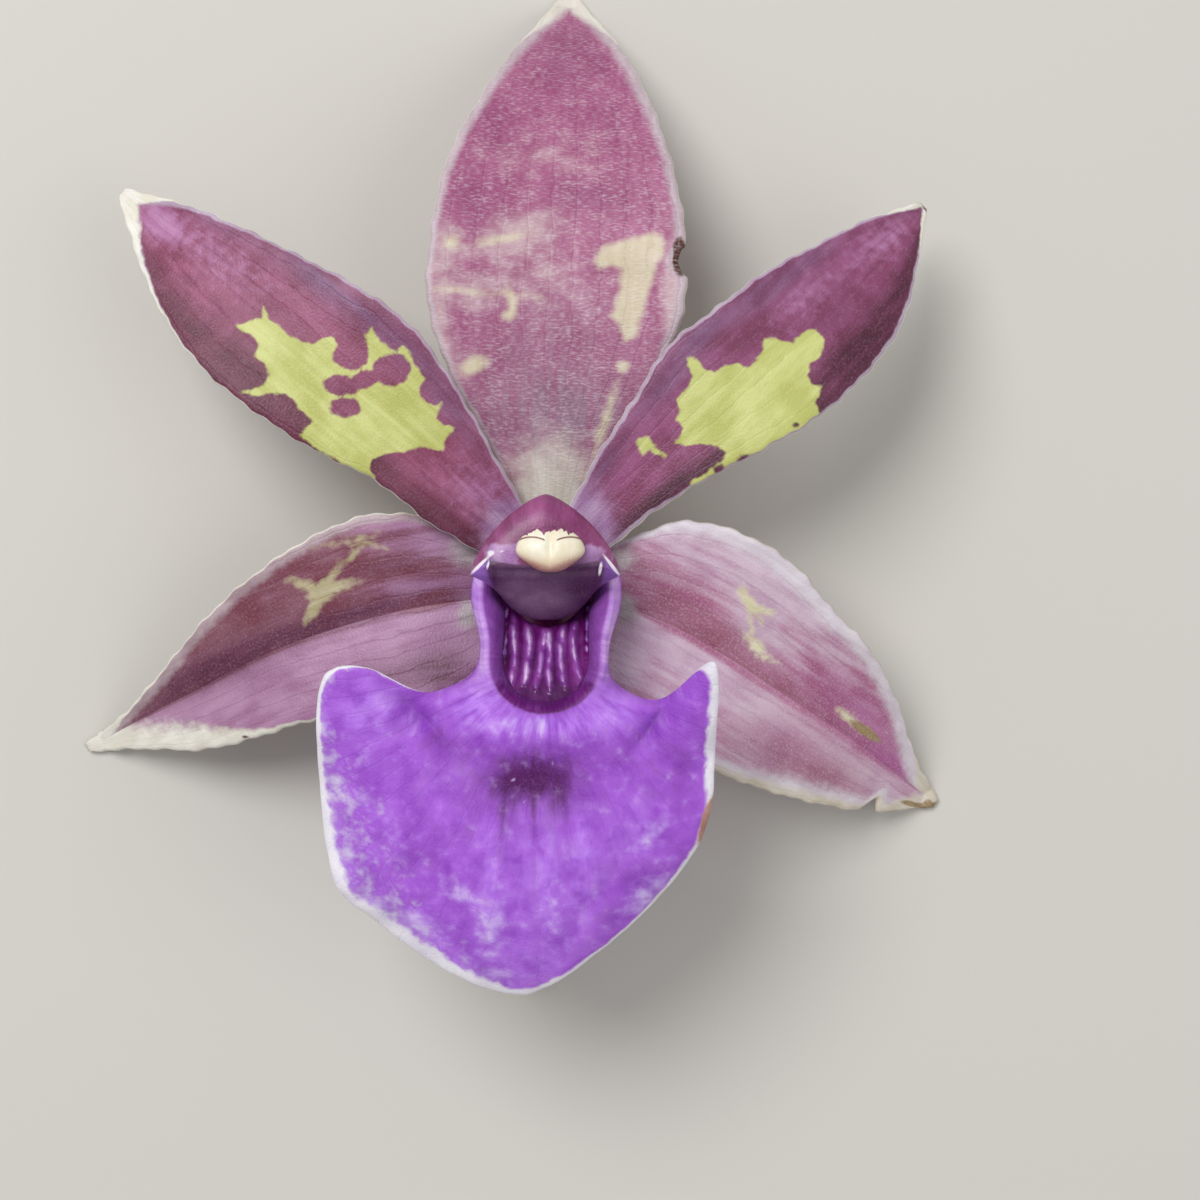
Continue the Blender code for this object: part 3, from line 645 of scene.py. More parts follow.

# %% [markdown]
# ## The petals
# The two petals are narrower and darker: maroon plum, with one large yellow-green blotch that maroon spots
# eat into from its edges, and a violet-grey painted sheen along each upper margin. The two differ, as they do
# on a real flower, so each has its own outlines. An outline is a closed row of points in mm, and the material
# roughens it.

# %% Petals
PETAL_TINTS = {
    "body": ("#843A58", "#A2587A"), "pale": ("#AE6E9C", "#C088B4"), "dark": ("#5C2438", "#763A50"),
    "violet": ("#74486E", "#8E6286"), "root": ("#A47AA8", "#C0A0C4"), "vein": "#6A3448",
    "blotch": ("#BCC068", "#D4D88A"), "margin": ("#B6A0B8", "#C8B8CA"), "cream": ("#E9E5D4", "#F8F6EE"),
    "scar": ("#4A2A1C", "#6A3A24"), "painted_glint": "#D6B6D0",
}
PETAL_FORM = {"cup": 0.06, "fold": 0.03, "wave": 0.35, "veins": 3.5}
PETAL_SKIN = {"soft": 0.14, "margin_soft": 0.35, "painted_glint": 0.09, "rag": 0.45}
PETAL_LEFT = {
    **PETAL_FORM,
    "midrib": [
        (-2.1, 2.0, 13.1), (-10.7, 9.8, 15.0), (-19.3, 17.2, 15.2), (-28.0, 24.6, 12.4), (-36.4, 31.4, 7.4),
    ],
    "left": [2.8, 4.3, 4.7, 6.1, 6.9, 7.0, 5.9, 3.5, 0.4],
    "right": [1.3, 3.3, 5.3, 6.7, 6.4, 5.2, 3.9, 2.4, 0.4],
    "left_band": [0.05, 0.05, 0.05, 0.05, 0.08, 0.1, 0.35, 0.8, 2.2],
    "right_band": [0.2, 0.25, 0.25, 0.25, 0.25, 0.25, 0.3, 0.5, 2.0],
    "warm": (0.8, 0.1),
    "dark_halves": (0.95, 0.0),
    "patches": [
        [
            (-25.4, 19.0), (-24.3, 19.4), (-23.3, 19.6), (-23.1, 20.6), (-22.6, 19.5), (-21.7, 18.9),
            (-20.7, 18.0), (-19.9, 17.7), (-19.0, 17.5), (-18.1, 18.0), (-17.3, 18.0), (-16.9, 17.4),
            (-17.4, 16.8), (-17.3, 16.1), (-16.6, 15.5), (-15.5, 15.3), (-14.6, 15.9), (-14.4, 16.9),
            (-14.7, 18.2), (-14.1, 18.9), (-13.7, 17.9), (-13.0, 17.4), (-12.2, 16.9), (-11.6, 17.3),
            (-11.1, 16.8), (-10.7, 15.8), (-9.9, 14.8), (-10.4, 13.9), (-10.2, 13.1), (-9.2, 12.5),
            (-8.5, 12.8), (-9.0, 11.6), (-8.5, 11.0), (-7.5, 10.8), (-8.2, 9.9), (-8.5, 8.9),
            (-9.4, 9.1), (-10.3, 9.2), (-11.7, 8.7), (-13.2, 8.6), (-14.2, 8.1), (-14.4, 7.4),
            (-14.0, 6.4), (-15.2, 6.6), (-16.8, 7.7), (-17.1, 8.2), (-18.0, 8.5), (-19.2, 9.4),
            (-20.2, 10.0), (-19.6, 10.5), (-19.0, 11.2), (-20.1, 12.1), (-20.7, 13.0), (-21.2, 13.4),
            (-22.7, 13.3), (-23.8, 13.2), (-25.0, 13.5), (-23.9, 13.7), (-23.0, 14.1), (-22.5, 14.9),
            (-23.0, 15.8), (-23.8, 16.4), (-23.5, 17.5), (-24.0, 18.2), (-24.9, 18.5),
        ],
    ],
    "freckles": [
        (-16.0, 16.6, 1.2, 1.1, 0), (-12.6, 15.4, 1.6, 1.3, 15), (-14.8, 14.6, 1.6, 0.7, 20),
        (-16.7, 14.1, 1.5, 0.85, 0), (-16.4, 12.3, 1.25, 0.85, 0),
    ],
    "soft": {
        "pale": [
            (-32.4, 28.3, 2.2, 1.3, -40, 1.2), (-5.0, 5.5, 3.0, 2.5, 0, 0.6),
            (-27.0, 25.0, 5.0, 2.0, -38, 0.4),
        ],
        "dark": [
            (-18.0, 12.0, 9.0, 3.0, -40, 0.4), (-12.6, 15.4, 5.0, 3.0, 0, 0.3),
            (-24.5, 16.0, 3.0, 4.0, 0, 0.4),
        ],
        # Painted sheen: violet-grey along the upper margin, where the edge curves back and catches the light
        "violet": [
            (-17.0, 21.6, 7.5, 1.3, -38, 0.8), (-8.4, 13.4, 5.5, 1.1, -54, 0.8),
            (-28.0, 28.4, 5.0, 0.9, -34, 0.5),
        ],
        "root": [(-2.6, 2.4, 3.2, 3.0, 0, 1.2)],
    },
    "look": blade_look(PETAL_TINTS, **PETAL_SKIN),
}
PETAL_RIGHT = {
    **PETAL_FORM,
    "midrib": [
        (2.1, 1.9, 13.1), (10.0, 9.4, 15.0), (17.6, 16.5, 15.2), (24.9, 23.6, 12.4), (31.8, 30.2, 7.6),
    ],
    "left": [1.3, 3.3, 4.6, 5.9, 5.5, 4.9, 3.6, 2.3, 0.4],
    "right": [2.8, 3.1, 4.1, 5.6, 6.7, 6.9, 6.1, 3.6, 0.4],
    "left_band": [0.3, 0.3, 0.3, 0.25, 0.25, 0.25, 0.25, 0.3, 0.5],
    "right_band": [0.3, 0.3, 0.12, 0.12, 0.15, 0.25, 0.35, 0.35, 0.5],
    "warm": (0.1, 0.2),
    "dark_halves": (0.0, 1.15),
    "patches": [
        [
            (10.5, 13.0), (10.9, 13.4), (11.5, 14.0), (11.8, 14.9), (11.4, 15.7), (11.4, 16.5),
            (12.2, 16.3), (12.7, 15.5), (13.5, 15.2), (14.7, 15.8), (15.6, 15.9), (16.3, 15.6),
            (17.0, 16.1), (17.5, 17.0), (17.6, 18.0), (18.5, 17.9), (19.2, 17.7), (20.0, 17.6),
            (20.9, 18.5), (21.9, 18.7), (22.5, 18.2), (22.6, 17.5), (22.2, 16.4), (21.4, 15.8),
            (21.2, 14.9), (21.5, 14.2), (22.4, 13.9), (21.8, 12.6), (22.1, 11.7), (21.7, 11.1),
            (20.9, 10.5), (20.0, 10.0), (18.8, 9.3), (18.0, 8.7), (16.9, 8.5), (15.6, 7.9), (14.9, 7.3),
            (14.0, 6.9), (13.2, 6.3), (12.3, 5.9), (11.5, 5.8), (11.8, 6.4), (12.7, 6.8), (13.5, 7.4),
            (14.4, 8.1), (14.6, 8.7), (13.8, 9.2), (12.7, 9.4), (11.5, 9.3), (10.4, 9.4), (10.8, 10.0),
            (11.1, 10.7), (10.5, 11.4), (10.8, 12.2),
        ],
    ],
    "spots": [(8.1, 9.5, 0.75, 0.45, -20), (8.0, 9.3, 0.4, 0.75, -20), (8.9, 8.9, 0.7, 0.2, -30)],
    "freckles": [(16.1, 8.1, 0.65, 0.4, 20), (14.1, 7.3, 0.5, 0.35, 30), (20.2, 10.8, 0.25, 0.2, 0)],
    "soft": {
        "pale": [(28.0, 27.0, 3.5, 1.5, 45, 0.5), (21.0, 21.4, 4.0, 1.5, 40, 0.35)],
        "dark": [
            (24.5, 18.5, 3.0, 5.0, -35, 0.3), (16.0, 17.5, 4.0, 1.5, 45, 0.2),
            (31.3, 29.8, 1.2, 2.0, -45, 0.4),
        ],
        # Painted sheen: violet-grey along the upper margin, where the edge curves back and catches the light
        "violet": [
            (10.7, 16.0, 6.5, 1.3, 50, 0.8), (19.5, 23.2, 6.5, 1.1, 38, 0.8), (4.7, 7.8, 3.0, 1.0, 58, 0.7),
        ],
        "root": [(2.8, 2.6, 3.0, 3.6, 0, 1.3)],
        "scar": [(32.0, 30.0, 1.2, 0.35, -60, 0.9), (17.6, 8.1, 2.5, 0.35, 32, 0.5)],
    },
    "look": blade_look(
        {**PETAL_TINTS, "body": ("#803A5C", "#9C5480"), "dark": ("#481A2E", "#5E2640")}, **PETAL_SKIN
    ),
}
add_blade("petal_left", PETAL_LEFT, "petal")
add_blade("petal_right", PETAL_RIGHT, "petal")

# %% [markdown]
# ## The lateral sepals
# The two lower sepals are folded along the midrib like a shallow roof gutter, so the half above the crease
# has painted shade next to the crease, and the half below it painted light that makes it paler. The left one
# has a star-shaped yellow mark and a cream lower rim.
# The right one is paler and older: a notch in its lower rim, an olive spot and a tip that has dried brown.
# Both are streaked and a little whitish beside the column.

# %% Lateral sepals
LEFT_TINTS = {
    "body": ("#7E4050", "#936070"), "pale": ("#A8769C", "#BC90B2"), "dark": ("#582440", "#6C3450"),
    "violet": ("#5E2A66", "#6E3A7C"), "root": ("#A89A9E", "#C8BEBE"), "vein": "#6A3050",
    "blotch": ("#BEB888", "#D6D0A6"), "margin": ("#A68F97", "#C2B0B5"), "cream": ("#DEDACB", "#EFECE2"),
    "scar": ("#4A2418", "#6A3A24"), "painted_glint": "#DDC0D2",
}
LATERAL_FORM = {"cup": 0.02, "fold": 0.20, "wave": 0.4}
LATERAL_LEFT = {
    **LATERAL_FORM,
    "midrib": [
        (-3.4, -2.9, 11.2), (-12.6, -4.3, 11.4), (-22.2, -7.2, 9.4), (-31.9, -11.8, 5.0),
        (-41.0, -16.4, -0.6),
    ],
    "left": [3.9, 6.7, 7.9, 7.6, 6.7, 6.1, 4.9, 2.5, 0.4],
    "right": [3.2, 6.7, 8.3, 7.8, 6.5, 4.9, 2.9, 1.2, 0.4],
    "left_band": [0.15, 0.15, 0.15, 0.15, 0.2, 0.7, 2.5, 2.4, 2.4],
    "right_band": [0.3, 0.5, 0.7, 0.8, 0.9, 1.0, 1.0, 0.9, 1.4],
    "warm": (0.9, 0.15),
    "spots": [
        (-18.7, -2.5, 1.3, 0.85, 30), (-19.9, -2.1, 1.5, 0.45, -19), (-19.3, -3.6, 1.5, 0.5, 60),
        (-17.5, -2.15, 1.5, 0.42, 14), (-18.0, -1.5, 1.3, 0.3, 58), (-16.2, 0.4, 1.6, 0.16, 42),
        (-14.7, 1.45, 0.9, 0.14, -16), (-16.9, 1.5, 1.1, 0.12, 8), (-15.6, 1.7, 0.5, 0.25, 30),
    ],
    # Painted light: the lower half faces the light and is drawn paler
    "lit_halves": (0.85, 0.0),
    "crease": (0.0, 0.35),
    "soft": {
        "pale": [
            (-9.0, 1.5, 4.5, 1.6, 0, 0.7), (-15.0, 3.2, 7.0, 1.0, 5, 0.6), (-6.8, -3.0, 1.2, 4.0, 0, 0.5),
            (-10.5, -2.0, 4.5, 0.7, 8, 0.6), (-15.0, -4.7, 5.0, 0.6, 14, 0.5),
        ],
        "dark": [
            (-28.5, -9.2, 7.5, 1.5, 24, 1.0), (-18.0, -5.2, 6.0, 0.9, 16, 0.7),
            (-12.0, -9.5, 4.5, 1.6, 8, 0.55), (-8.0, -9.0, 2.0, 2.5, 0, 0.5),
            (-13.5, -0.6, 3.0, 0.7, 10, 0.4),
        ],
        # Painted shade where the root lies under the column and the lip
        "shade_under_column": [(-1.8, -4.0, 2.6, 2.8, 0, 2.0)],
        "root": [(-6.5, 0.6, 1.6, 2.2, 60, 0.9), (-6.6, -4.6, 1.2, 1.6, 0, 0.9)],
        "scar": [(-25.5, -14.9, 0.5, 0.2, 0, 0.6)],
    },
    "look": blade_look(
        LEFT_TINTS, soft=0.3, margin_soft=0.4, painted_glint=0.14, strength=0.85, pale_noise="streaks"
    ),
}
RIGHT_TINTS = {
    "body": ("#AC6489", "#C48CAC"), "pale": ("#C6A4BC", "#DAC2D2"), "dark": ("#925066", "#A4687E"),
    "violet": ("#A24A86", "#B0609A"), "root": ("#A89A9E", "#C8BEBE"), "vein": "#8C5270",
    "blotch": ("#D4CFA4", "#EAE5C2"), "margin": ("#D4CCD4", "#E6E2E8"), "cream": ("#CFC4B0", "#E0D8C8"),
    "scar": ("#7A6444", "#A68E60"), "painted_glint": "#EAD6E2",
}
LATERAL_RIGHT = {
    **LATERAL_FORM,
    "midrib": [
        (3.4, -2.7, 11.2), (11.3, -6.0, 11.4), (19.0, -10.8, 9.4), (26.6, -15.8, 5.2), (34.0, -21.3, -0.6),
    ],
    "left": [3.6, 7.9, 9.4, 9.5, 8.3, 7.3, 5.2, 2.3, 0.4],
    "right": [3.9, 6.9, 8.6, 9.0, 8.4, 7.5, 6.1, 4.0, 0.4],
    "notches": [(1.0, 0.862, 0.022, 1.5)],
    "left_band": [0.3, 0.8, 1.3, 1.5, 1.3, 1.2, 1.3, 1.5, 2.2],
    "right_band": [0.2, 0.2, 0.2, 0.4, 1.1, 1.6, 1.6, 1.2, 1.8],
    "warm": (0.04, 0.5),
    "spots": [
        (16.7, -3.5, 1.5, 0.48, -58), (17.5, -4.0, 1.1, 0.36, -15), (17.3, -7.0, 1.1, 0.42, -50),
        (18.0, -7.9, 0.7, 0.24, -20), (16.9, -5.4, 1.0, 0.14, -80), (25.4, -13.2, 1.0, 0.3, -35),
    ],
    # Painted light: the lower half faces the light and is drawn paler, the upper a little
    "lit_halves": (0.15, 0.5),
    "crease": (0.75, 0.0),
    "soft": {
        "pale": [
            (9.0, 2.8, 5.0, 1.8, -10, 0.75), (20.0, -2.5, 6.0, 2.2, -32, 0.7),
            (13.0, -9.5, 7.0, 1.6, -34, 0.5), (7.0, -6.5, 1.5, 3.0, 0, 0.5),
            (28.0, -19.2, 3.5, 0.8, -35, 0.5), (9.5, -1.2, 4.0, 0.35, -22, 0.6),
            (17.2, -4.5, 1.8, 3.2, 0, 0.8), (24.0, -7.5, 4.0, 1.2, -42, 0.3),
            (13.0, -0.6, 4.0, 1.4, -25, 0.35), (19.5, -6.8, 3.0, 1.1, -35, 0.4),
        ],
        "dark": [
            (12.0, -4.3, 6.0, 1.5, -34, 0.8), (8.5, -0.5, 3.5, 0.7, -20, 0.5),
            (22.0, -17.6, 6.0, 2.0, -28, 0.75),
        ],
        "violet": [
            (26.5, -13.2, 6.0, 2.2, -37, 0.6), (30.0, -17.6, 3.5, 0.9, -38, 0.7),
            (20.0, -15.0, 4.0, 2.0, -30, 0.3),
        ],
        # Painted shade where the root lies under the column and the lip
        "shade_under_column": [(1.8, -4.0, 2.6, 2.8, 0, 2.0)],
        "root": [(6.2, 0.2, 1.2, 1.6, -50, 0.9), (6.5, -4.2, 1.2, 1.8, 0, 0.9)],
        "scar": [
            (33.8, -21.6, 1.0, 0.5, -30, 0.9), (31.6, -21.2, 1.6, 0.25, -15, 0.9),
            (27.0, -14.4, 1.7, 0.45, -35, 1.0),
        ],
    },
    "look": blade_look(RIGHT_TINTS, soft=0.3, margin_soft=0.5, painted_glint=0.25, pale_noise="streaks"),
}
add_blade("lateral_sepal_left", LATERAL_LEFT, "sepal")
add_blade("lateral_sepal_right", LATERAL_RIGHT, "sepal")

# %% [markdown]
# ## The lip
# The lip is the third petal, made over into a landing place for bees. Two raised arms stand beside the
# column and meet in a horseshoe crest round the callus. Outside the crest the tissue spreads into a broad
# violet blade with two ears and a rippled white rim, and inside it goes down to a claw that holds the lip
# on the column's foot. One surface does all of this: its first number goes along the crest from arm to arm,
# and its second goes from the claw, over the crest, out to the rim.

# %% Lip shape
LIP_THICKNESS = 0.6
LIP_COLUMNS, LIP_ROWS = 280, 140
CREST_Y, CREST_HALF_WIDTH, CREST_DEPTH, CREST_Z = -8.0, 4.5, 4.3, 22.6
ARM_HALF_WIDTH, ARM_END_Y, ARM_END_Z = 5.15, -1.0, 16.4
CLAW_Y, CLAW_Z = -7.6, 12.3
# The arms narrow between these two places along them, and so does the foot of the wall inside them
ARM_WAIST, FOOT_WAIST = (-3.3, -7.0), (-3.0, -4.4)
# That foot: how far out beside an arm, how much less at its waist, how far in at the front, and how low
ARM_FOOT_X, ARM_FOOT_NARROWS, FRONT_FOOT_INWARD, WALL_DROP = 4.25, 0.5, 0.75, 2.6
SKIRT_DROP, SKIRT_LEAN = 1.6, 0.3
LIP_MIDDLE = [
    (-5.7, -1.0, 15.2), (-5.8, -3.4, 16.6), (-5.0, -6.7, 18.4), (-5.5, -9.3, 20.0),
    (-8.0, -11.0, 21.2), (-10.6, -12.8, 21.6), (-12.4, -14.4, 21.6), (-12.2, -18.4, 22.0),
    (-10.6, -22.6, 22.3), (-8.0, -24.4, 22.5), (-4.2, -25.2, 22.7), (-0.8, -25.4, 22.8),
    (2.8, -24.4, 22.7), (6.0, -22.4, 22.5), (8.2, -19.4, 22.2), (9.0, -15.6, 21.9),
    (8.6, -12.9, 21.6), (7.2, -11.6, 21.2), (5.0, -9.7, 20.0), (4.8, -7.0, 18.4),
    (5.7, -3.6, 16.6), (5.7, -1.0, 15.2),
]
LIP_RIM = [
    (-5.5, -1.0, 14.2), (-5.5, -3.4, 14.8), (-4.8, -6.7, 16.4), (-5.6, -9.4, 18.8),
    (-9.4, -10.6, 20.6), (-14.2, -8.5, 23.0), (-17.5, -9.7, 22.0), (-17.9, -17.0, 20.6),
    (-16.8, -25.2, 20.2), (-13.9, -28.4, 20.2), (-7.4, -32.9, 20.0), (-1.4, -34.6, 20.0),
    (4.6, -30.8, 20.2), (9.7, -25.9, 20.6), (12.8, -20.8, 21.0), (13.4, -14.4, 21.8),
    (13.2, -8.1, 23.8), (9.3, -11.2, 20.8), (5.1, -10.1, 19.0), (4.6, -7.0, 16.4),
    (5.4, -3.6, 14.8), (5.5, -1.0, 14.2),
]
# How much of the second number each part takes: claw, wall, then the blade
CLAW_SHARE, WALL_SHARE = 0.12, 0.24
# Waves of the rim in height, and in and out: how high, how many from arm to arm, and their phase
RIM_RIPPLES, RIM_WANDERS = [(0.3, 11, 0), (0.12, 29, 1)], [(0.1, 37, 0), (0.08, 61, 2)]
# Soft humps and hollows of the blade, in mm: the collar, the hollow before it, the ears and their creases
LIP_RELIEF = [
    (0.0, -13.9, 4.5, 1.1, 0, 0.6), (-0.6, -18.0, 5.5, 2.6, 0, -1.0), (-9.9, -12.4, 3.4, 0.9, -45, -1.1),
    (8.7, -12.9, 3.0, 0.8, 52, -0.9), (-13.0, -12.5, 3.0, 3.6, 0, 0.8), (11.2, -13.0, 1.6, 3.2, -25, 0.6),
    (-4.5, -26.0, 1.2, 5.0, 20, 0.3), (3.8, -27.0, 1.0, 4.5, -35, -0.35), (-10.5, -24.0, 3.0, 1.2, 30, -0.3),
    (9.6, -21.0, 2.2, 3.4, -20, 0.3),
]


def crest_beside(middle):
    """The crest: two arms that narrow to the front, and a half ellipse, rising as a quarter sine wave."""
    x, y = middle[..., 0], middle[..., 1]
    turn = np.arctan2(y - CREST_Y, x)
    arm_x = ARM_HALF_WIDTH - (ARM_HALF_WIDTH - CREST_HALF_WIDTH) * ease(y, *ARM_WAIST)
    crest_x = np.where(y > CREST_Y, np.sign(x) * arm_x, CREST_HALF_WIDTH * np.cos(turn))
    crest_y = np.where(y > CREST_Y, y, CREST_Y + CREST_DEPTH * np.sin(turn))
    forward = (ARM_END_Y - crest_y) / (ARM_END_Y - CREST_Y + CREST_DEPTH)
    rise = np.sin(np.clip(forward, 0, 1) * np.pi / 2)
    return np.stack([crest_x, crest_y, ARM_END_Z + (CREST_Z - ARM_END_Z) * rise], axis=-1)


def wall_foot(crest):
    """The foot of the wall inside the crest: in towards the callus, and down."""
    inward = np.stack([-crest[..., 0], np.maximum(CREST_Y - crest[..., 1], 0)], axis=-1)
    inward /= np.linalg.norm(inward, axis=-1, keepdims=True)
    arm_foot = ARM_FOOT_X - ARM_FOOT_NARROWS * ease(crest[..., 1], *FOOT_WAIST)
    reach = np.where(crest[..., 1] > CREST_Y, np.abs(crest[..., 0]) - arm_foot, FRONT_FOOT_INWARD)
    foot = crest - [0, 0, WALL_DROP]
    foot[..., :2] += inward * reach[..., None]
    return foot, inward


def waves(share, rows):
    """Sum of sine waves (height, count, phase) along a share: height * sin(2 pi * count * share + phase)."""
    return sum(height * np.sin(2 * np.pi * count * share + phase) for height, count, phase in rows)


def lip_middle(across, along):
    """The lip: straight up the claw, a quarter ellipse up the wall, then a parabola out to the rim."""
    middle = smooth_through(LIP_MIDDLE, across)
    rim = smooth_through(LIP_RIM, across)
    crest = crest_beside(middle)
    foot, inward = wall_foot(crest)
    claw = crest * [0.6, 0, 0] + [0, CLAW_Y, CLAW_Z]
    # The arms' skirts lean in towards the callus, so that no light shows between the two
    skirt = foot - [0, 0, SKIRT_DROP]
    skirt[..., :2] += SKIRT_LEAN * inward
    front = ease(CREST_Y - crest[..., 1], 0, CREST_DEPTH * 0.8)[..., None]
    start = skirt + (claw - skirt) * front
    down = np.clip(along / CLAW_SHARE, 0, 1)[..., None]
    up = np.clip((along - CLAW_SHARE) / (WALL_SHARE - CLAW_SHARE), 0, 1)[..., None] * np.pi / 2
    out = np.clip((along - WALL_SHARE) / (1 - WALL_SHARE), 0, 1)[..., None]
    round_up = np.concatenate([1 - np.cos(up), 1 - np.cos(up), np.sin(up)], axis=-1)
    wall = foot + (crest - foot) * round_up
    spread = crest * (1 - out) * (1 - 2 * out) + middle * 4 * out * (1 - out) + rim * out * (2 * out - 1)
    points = np.where(out > 0, spread, np.where(up > 0, wall, start + (foot - start) * down))
    out = out[..., 0]
    # The rim ripples in height, and wanders in and out a little
    relief = soft_spots(points[..., 0], points[..., 1], LIP_RELIEF) * ease(out, 0, 0.05)
    points[..., 2] += relief + waves(across, RIM_RIPPLES) * out**4
    points[..., :2] += (rim - middle)[..., :2] * (0.03 * waves(across, RIM_WANDERS) * out**8)[..., None]
    return points, out, np.linalg.norm(rim - crest, axis=-1)


across, along = grid(LIP_COLUMNS, LIP_ROWS)
# The columns run from right to left, so that the faces point up and outwards
across = 1 - across
lip_points, lip_out, lip_reach = lip_middle(across, along)
lip_x, lip_y, lip_z = np.moveaxis(lip_points, -1, 0)
print("lip spans", [round(v, 1) for v in np.ptp(lip_points, axis=(0, 1))], "mm")

# %% [markdown]
# ## Where the lip's colours lie
# The violet is darkest in the hollow before the callus, where dark pigment has painted shade laid over it,
# and a few dark veins run forward from there. The creases beside the ears and a few low hollows also get
# painted shade. Lighter streaks lie between the veins, and whitish mottles nearer the tip with a few tiny
# painted glints. The raised collar at the throat's front, the hump of the left ear and the middle of the
# blade get painted highlights. The rim is white: solid on the right, and on the left frayed into patches
# with the violet showing through. The arms are lavender, painted lighter where the crest's outer slope faces
# the light, and the inside of the throat is dark and wet.

# %% Lip patterns
# The widths of the white rim and of its frayed part, from the left arm's end round to the right arm's
LIP_BAND = [
    0.05, 0.05, 0.05, 0.05, 0.05, 0.05, 0.4, 1.4, 2.2, 3.0, 1.8, 1.0,
    0.8, 1.0, 1.0, 1.2, 0.5, 0.05, 0.05, 0.05, 0.05, 0.05,
]
FRAYED_BAND = [0.1, 0.1, 0.1, 0.1, 0.1, 0.1, 0.9, 4.5, 5.0, 4.5, 2.6, 1.2] + [0.1] * 10
lip_to_rim = (1 - lip_out) * lip_reach
inside_throat = 1 - ease(along, WALL_SHARE - 0.012, WALL_SHARE + 0.004)
up_the_wall = ease(along, 0.4 * WALL_SHARE, 0.7 * WALL_SHARE)
# The veins and the streaks spread like rays from a point in the throat
lip_ray = np.arctan2(lip_x, -lip_y - 8.0)
lip_values = {
    "edge": lip_to_rim / np.maximum(smooth_through(LIP_BAND, across), 0.05),
    "frayed": lip_to_rim / np.maximum(smooth_through(FRAYED_BAND, across), 0.1),
    # Painted highlights on the collar, beside the throat, on the left ear's hump and mid-blade, with pale
    # streaks
    "highlights_and_pale_streaks": soft_spots(lip_x, lip_y, [
        (2.9, -24.2, 0.8, 4.0, 0, 0.9), (0.1, -24.4, 0.7, 3.6, 0, 0.8), (-4.3, -26.0, 0.8, 4.2, 0, 0.6),
        (7.0, -21.0, 1.5, 3.0, -20, 0.4), (-7.5, -17.0, 3.0, 1.0, 20, 0.4), (-0.5, -25.5, 6.5, 6.5, 0, 0.45),
        (-12.5, -21.0, 1.0, 3.0, 15, 0.3), (0.0, -13.2, 3.6, 0.8, 0, 1.2), (-5.2, -11.9, 2.0, 1.4, 0, 1.1),
        (5.2, -12.1, 2.0, 1.4, 0, 1.1), (-13.6, -12.0, 2.4, 2.6, 0, 0.9), (-8.0, -30.0, 3.5, 1.2, -35, 0.5),
        (-1.0, -32.0, 2.0, 1.5, 0, 0.5),
    ]),
    # Dark heart and veins, partly pigment; painted shade in the hollow, in the ears' creases and in low dips
    "dark": soft_spots(lip_x, lip_y, [
        (-1.0, -17.2, 3.0, 1.4, 0, 0.95), (-3.0, -18.8, 0.8, 2.0, 0, 0.35), (1.3, -18.8, 0.8, 2.0, 0, 0.35),
        (-1.2, -18.2, 5.6, 3.4, 0, 0.5), (-0.85, -21.0, 0.2, 5.5, 1, 0.4),
        (-3.3, -20.6, 0.2, 2.4, -4, 0.35), (1.7, -20.6, 0.2, 2.4, 4, 0.35), (4.6, -28.5, 1.2, 3.2, -38, 0.3),
        (-9.9, -12.4, 3.2, 0.7, -45, 0.4), (8.7, -12.9, 3.0, 0.7, 52, 0.4), (10.0, -16.5, 3.0, 4.0, 0, 0.3),
        (-10.5, -24.0, 3.2, 1.6, 35, 0.3), (-8.2, -14.5, 2.0, 2.6, 25, 0.3), (6.5, -24.8, 2.5, 1.2, 40, 0.3),
        (-12.5, -27.5, 2.5, 1.0, -35, 0.3), (0.0, -15.6, 6.0, 0.8, 0, 0.25),
    ]),
    # Whitish mottles; the collar's pale band is a painted highlight and the six tiny spots are painted glints
    "mottles_and_glints": soft_spots(lip_x, lip_y, [
        (-1.0, -13.2, 3.0, 0.6, 0, 0.8), (-4.0, -28.8, 1.0, 2.2, -15, 0.9), (-6.6, -26.2, 0.7, 2.0, 40, 0.8),
        (-9.6, -28.6, 1.8, 0.8, -20, 0.7), (8.4, -21.6, 1.5, 0.7, 45, 0.85), (7.9, -26.2, 2.2, 1.0, 40, 1.0),
        (-14.5, -15.9, 0.5, 0.5, 0, 0.8), (-14.2, -18.8, 0.6, 0.5, 0, 0.8), (-4.0, -32.6, 1.6, 0.7, 0, 0.8),
        (-13.5, -27.4, 1.8, 0.9, -25, 0.9), (0.8, -28.0, 1.0, 2.5, 0, 0.4), (-12.0, -22.5, 1.5, 1.5, 0, 0.35),
        (-2.5, -17.4, 0.16, 0.12, 0, 1.6), (-1.6, -19.2, 0.14, 0.11, 30, 1.4),
        (1.4, -19.6, 0.14, 0.11, -30, 1.4), (3.8, -13.8, 0.16, 0.11, 0, 1.4),
        (0.6, -15.9, 0.11, 0.14, 0, 1.4), (9.6, -16.0, 0.14, 0.11, 20, 1.4),
    ]),
    # Lavender arms, partly painted light where the crest's outer slope faces the light
    "arm": (1 - ease(lip_out, 0.2, 0.5)) * ease(lip_y, -11.5, -8.5),
    "throat": inside_throat,
    "deep": inside_throat * ease(-lip_y, 9.0, 10.8) + (1 - up_the_wall) * 0.5,
    "rust": soft_spots(lip_x, lip_y, [(12.9, -20.4, 0.7, 2.4, -22, 1.4)]),
    "vein": lip_ray * 11,
}
print("lip rim is", round(float(lip_reach.max()), 1), "mm from the crest at most")

# %% [markdown]
# ## Velvet
# The lip is velvety: its skin cells stand up like tiny cones, which gives the violet its depth and a soft
# sheen at a slant. In the throat the cells lie flat under a film of nectar, so the shine there is sharper.

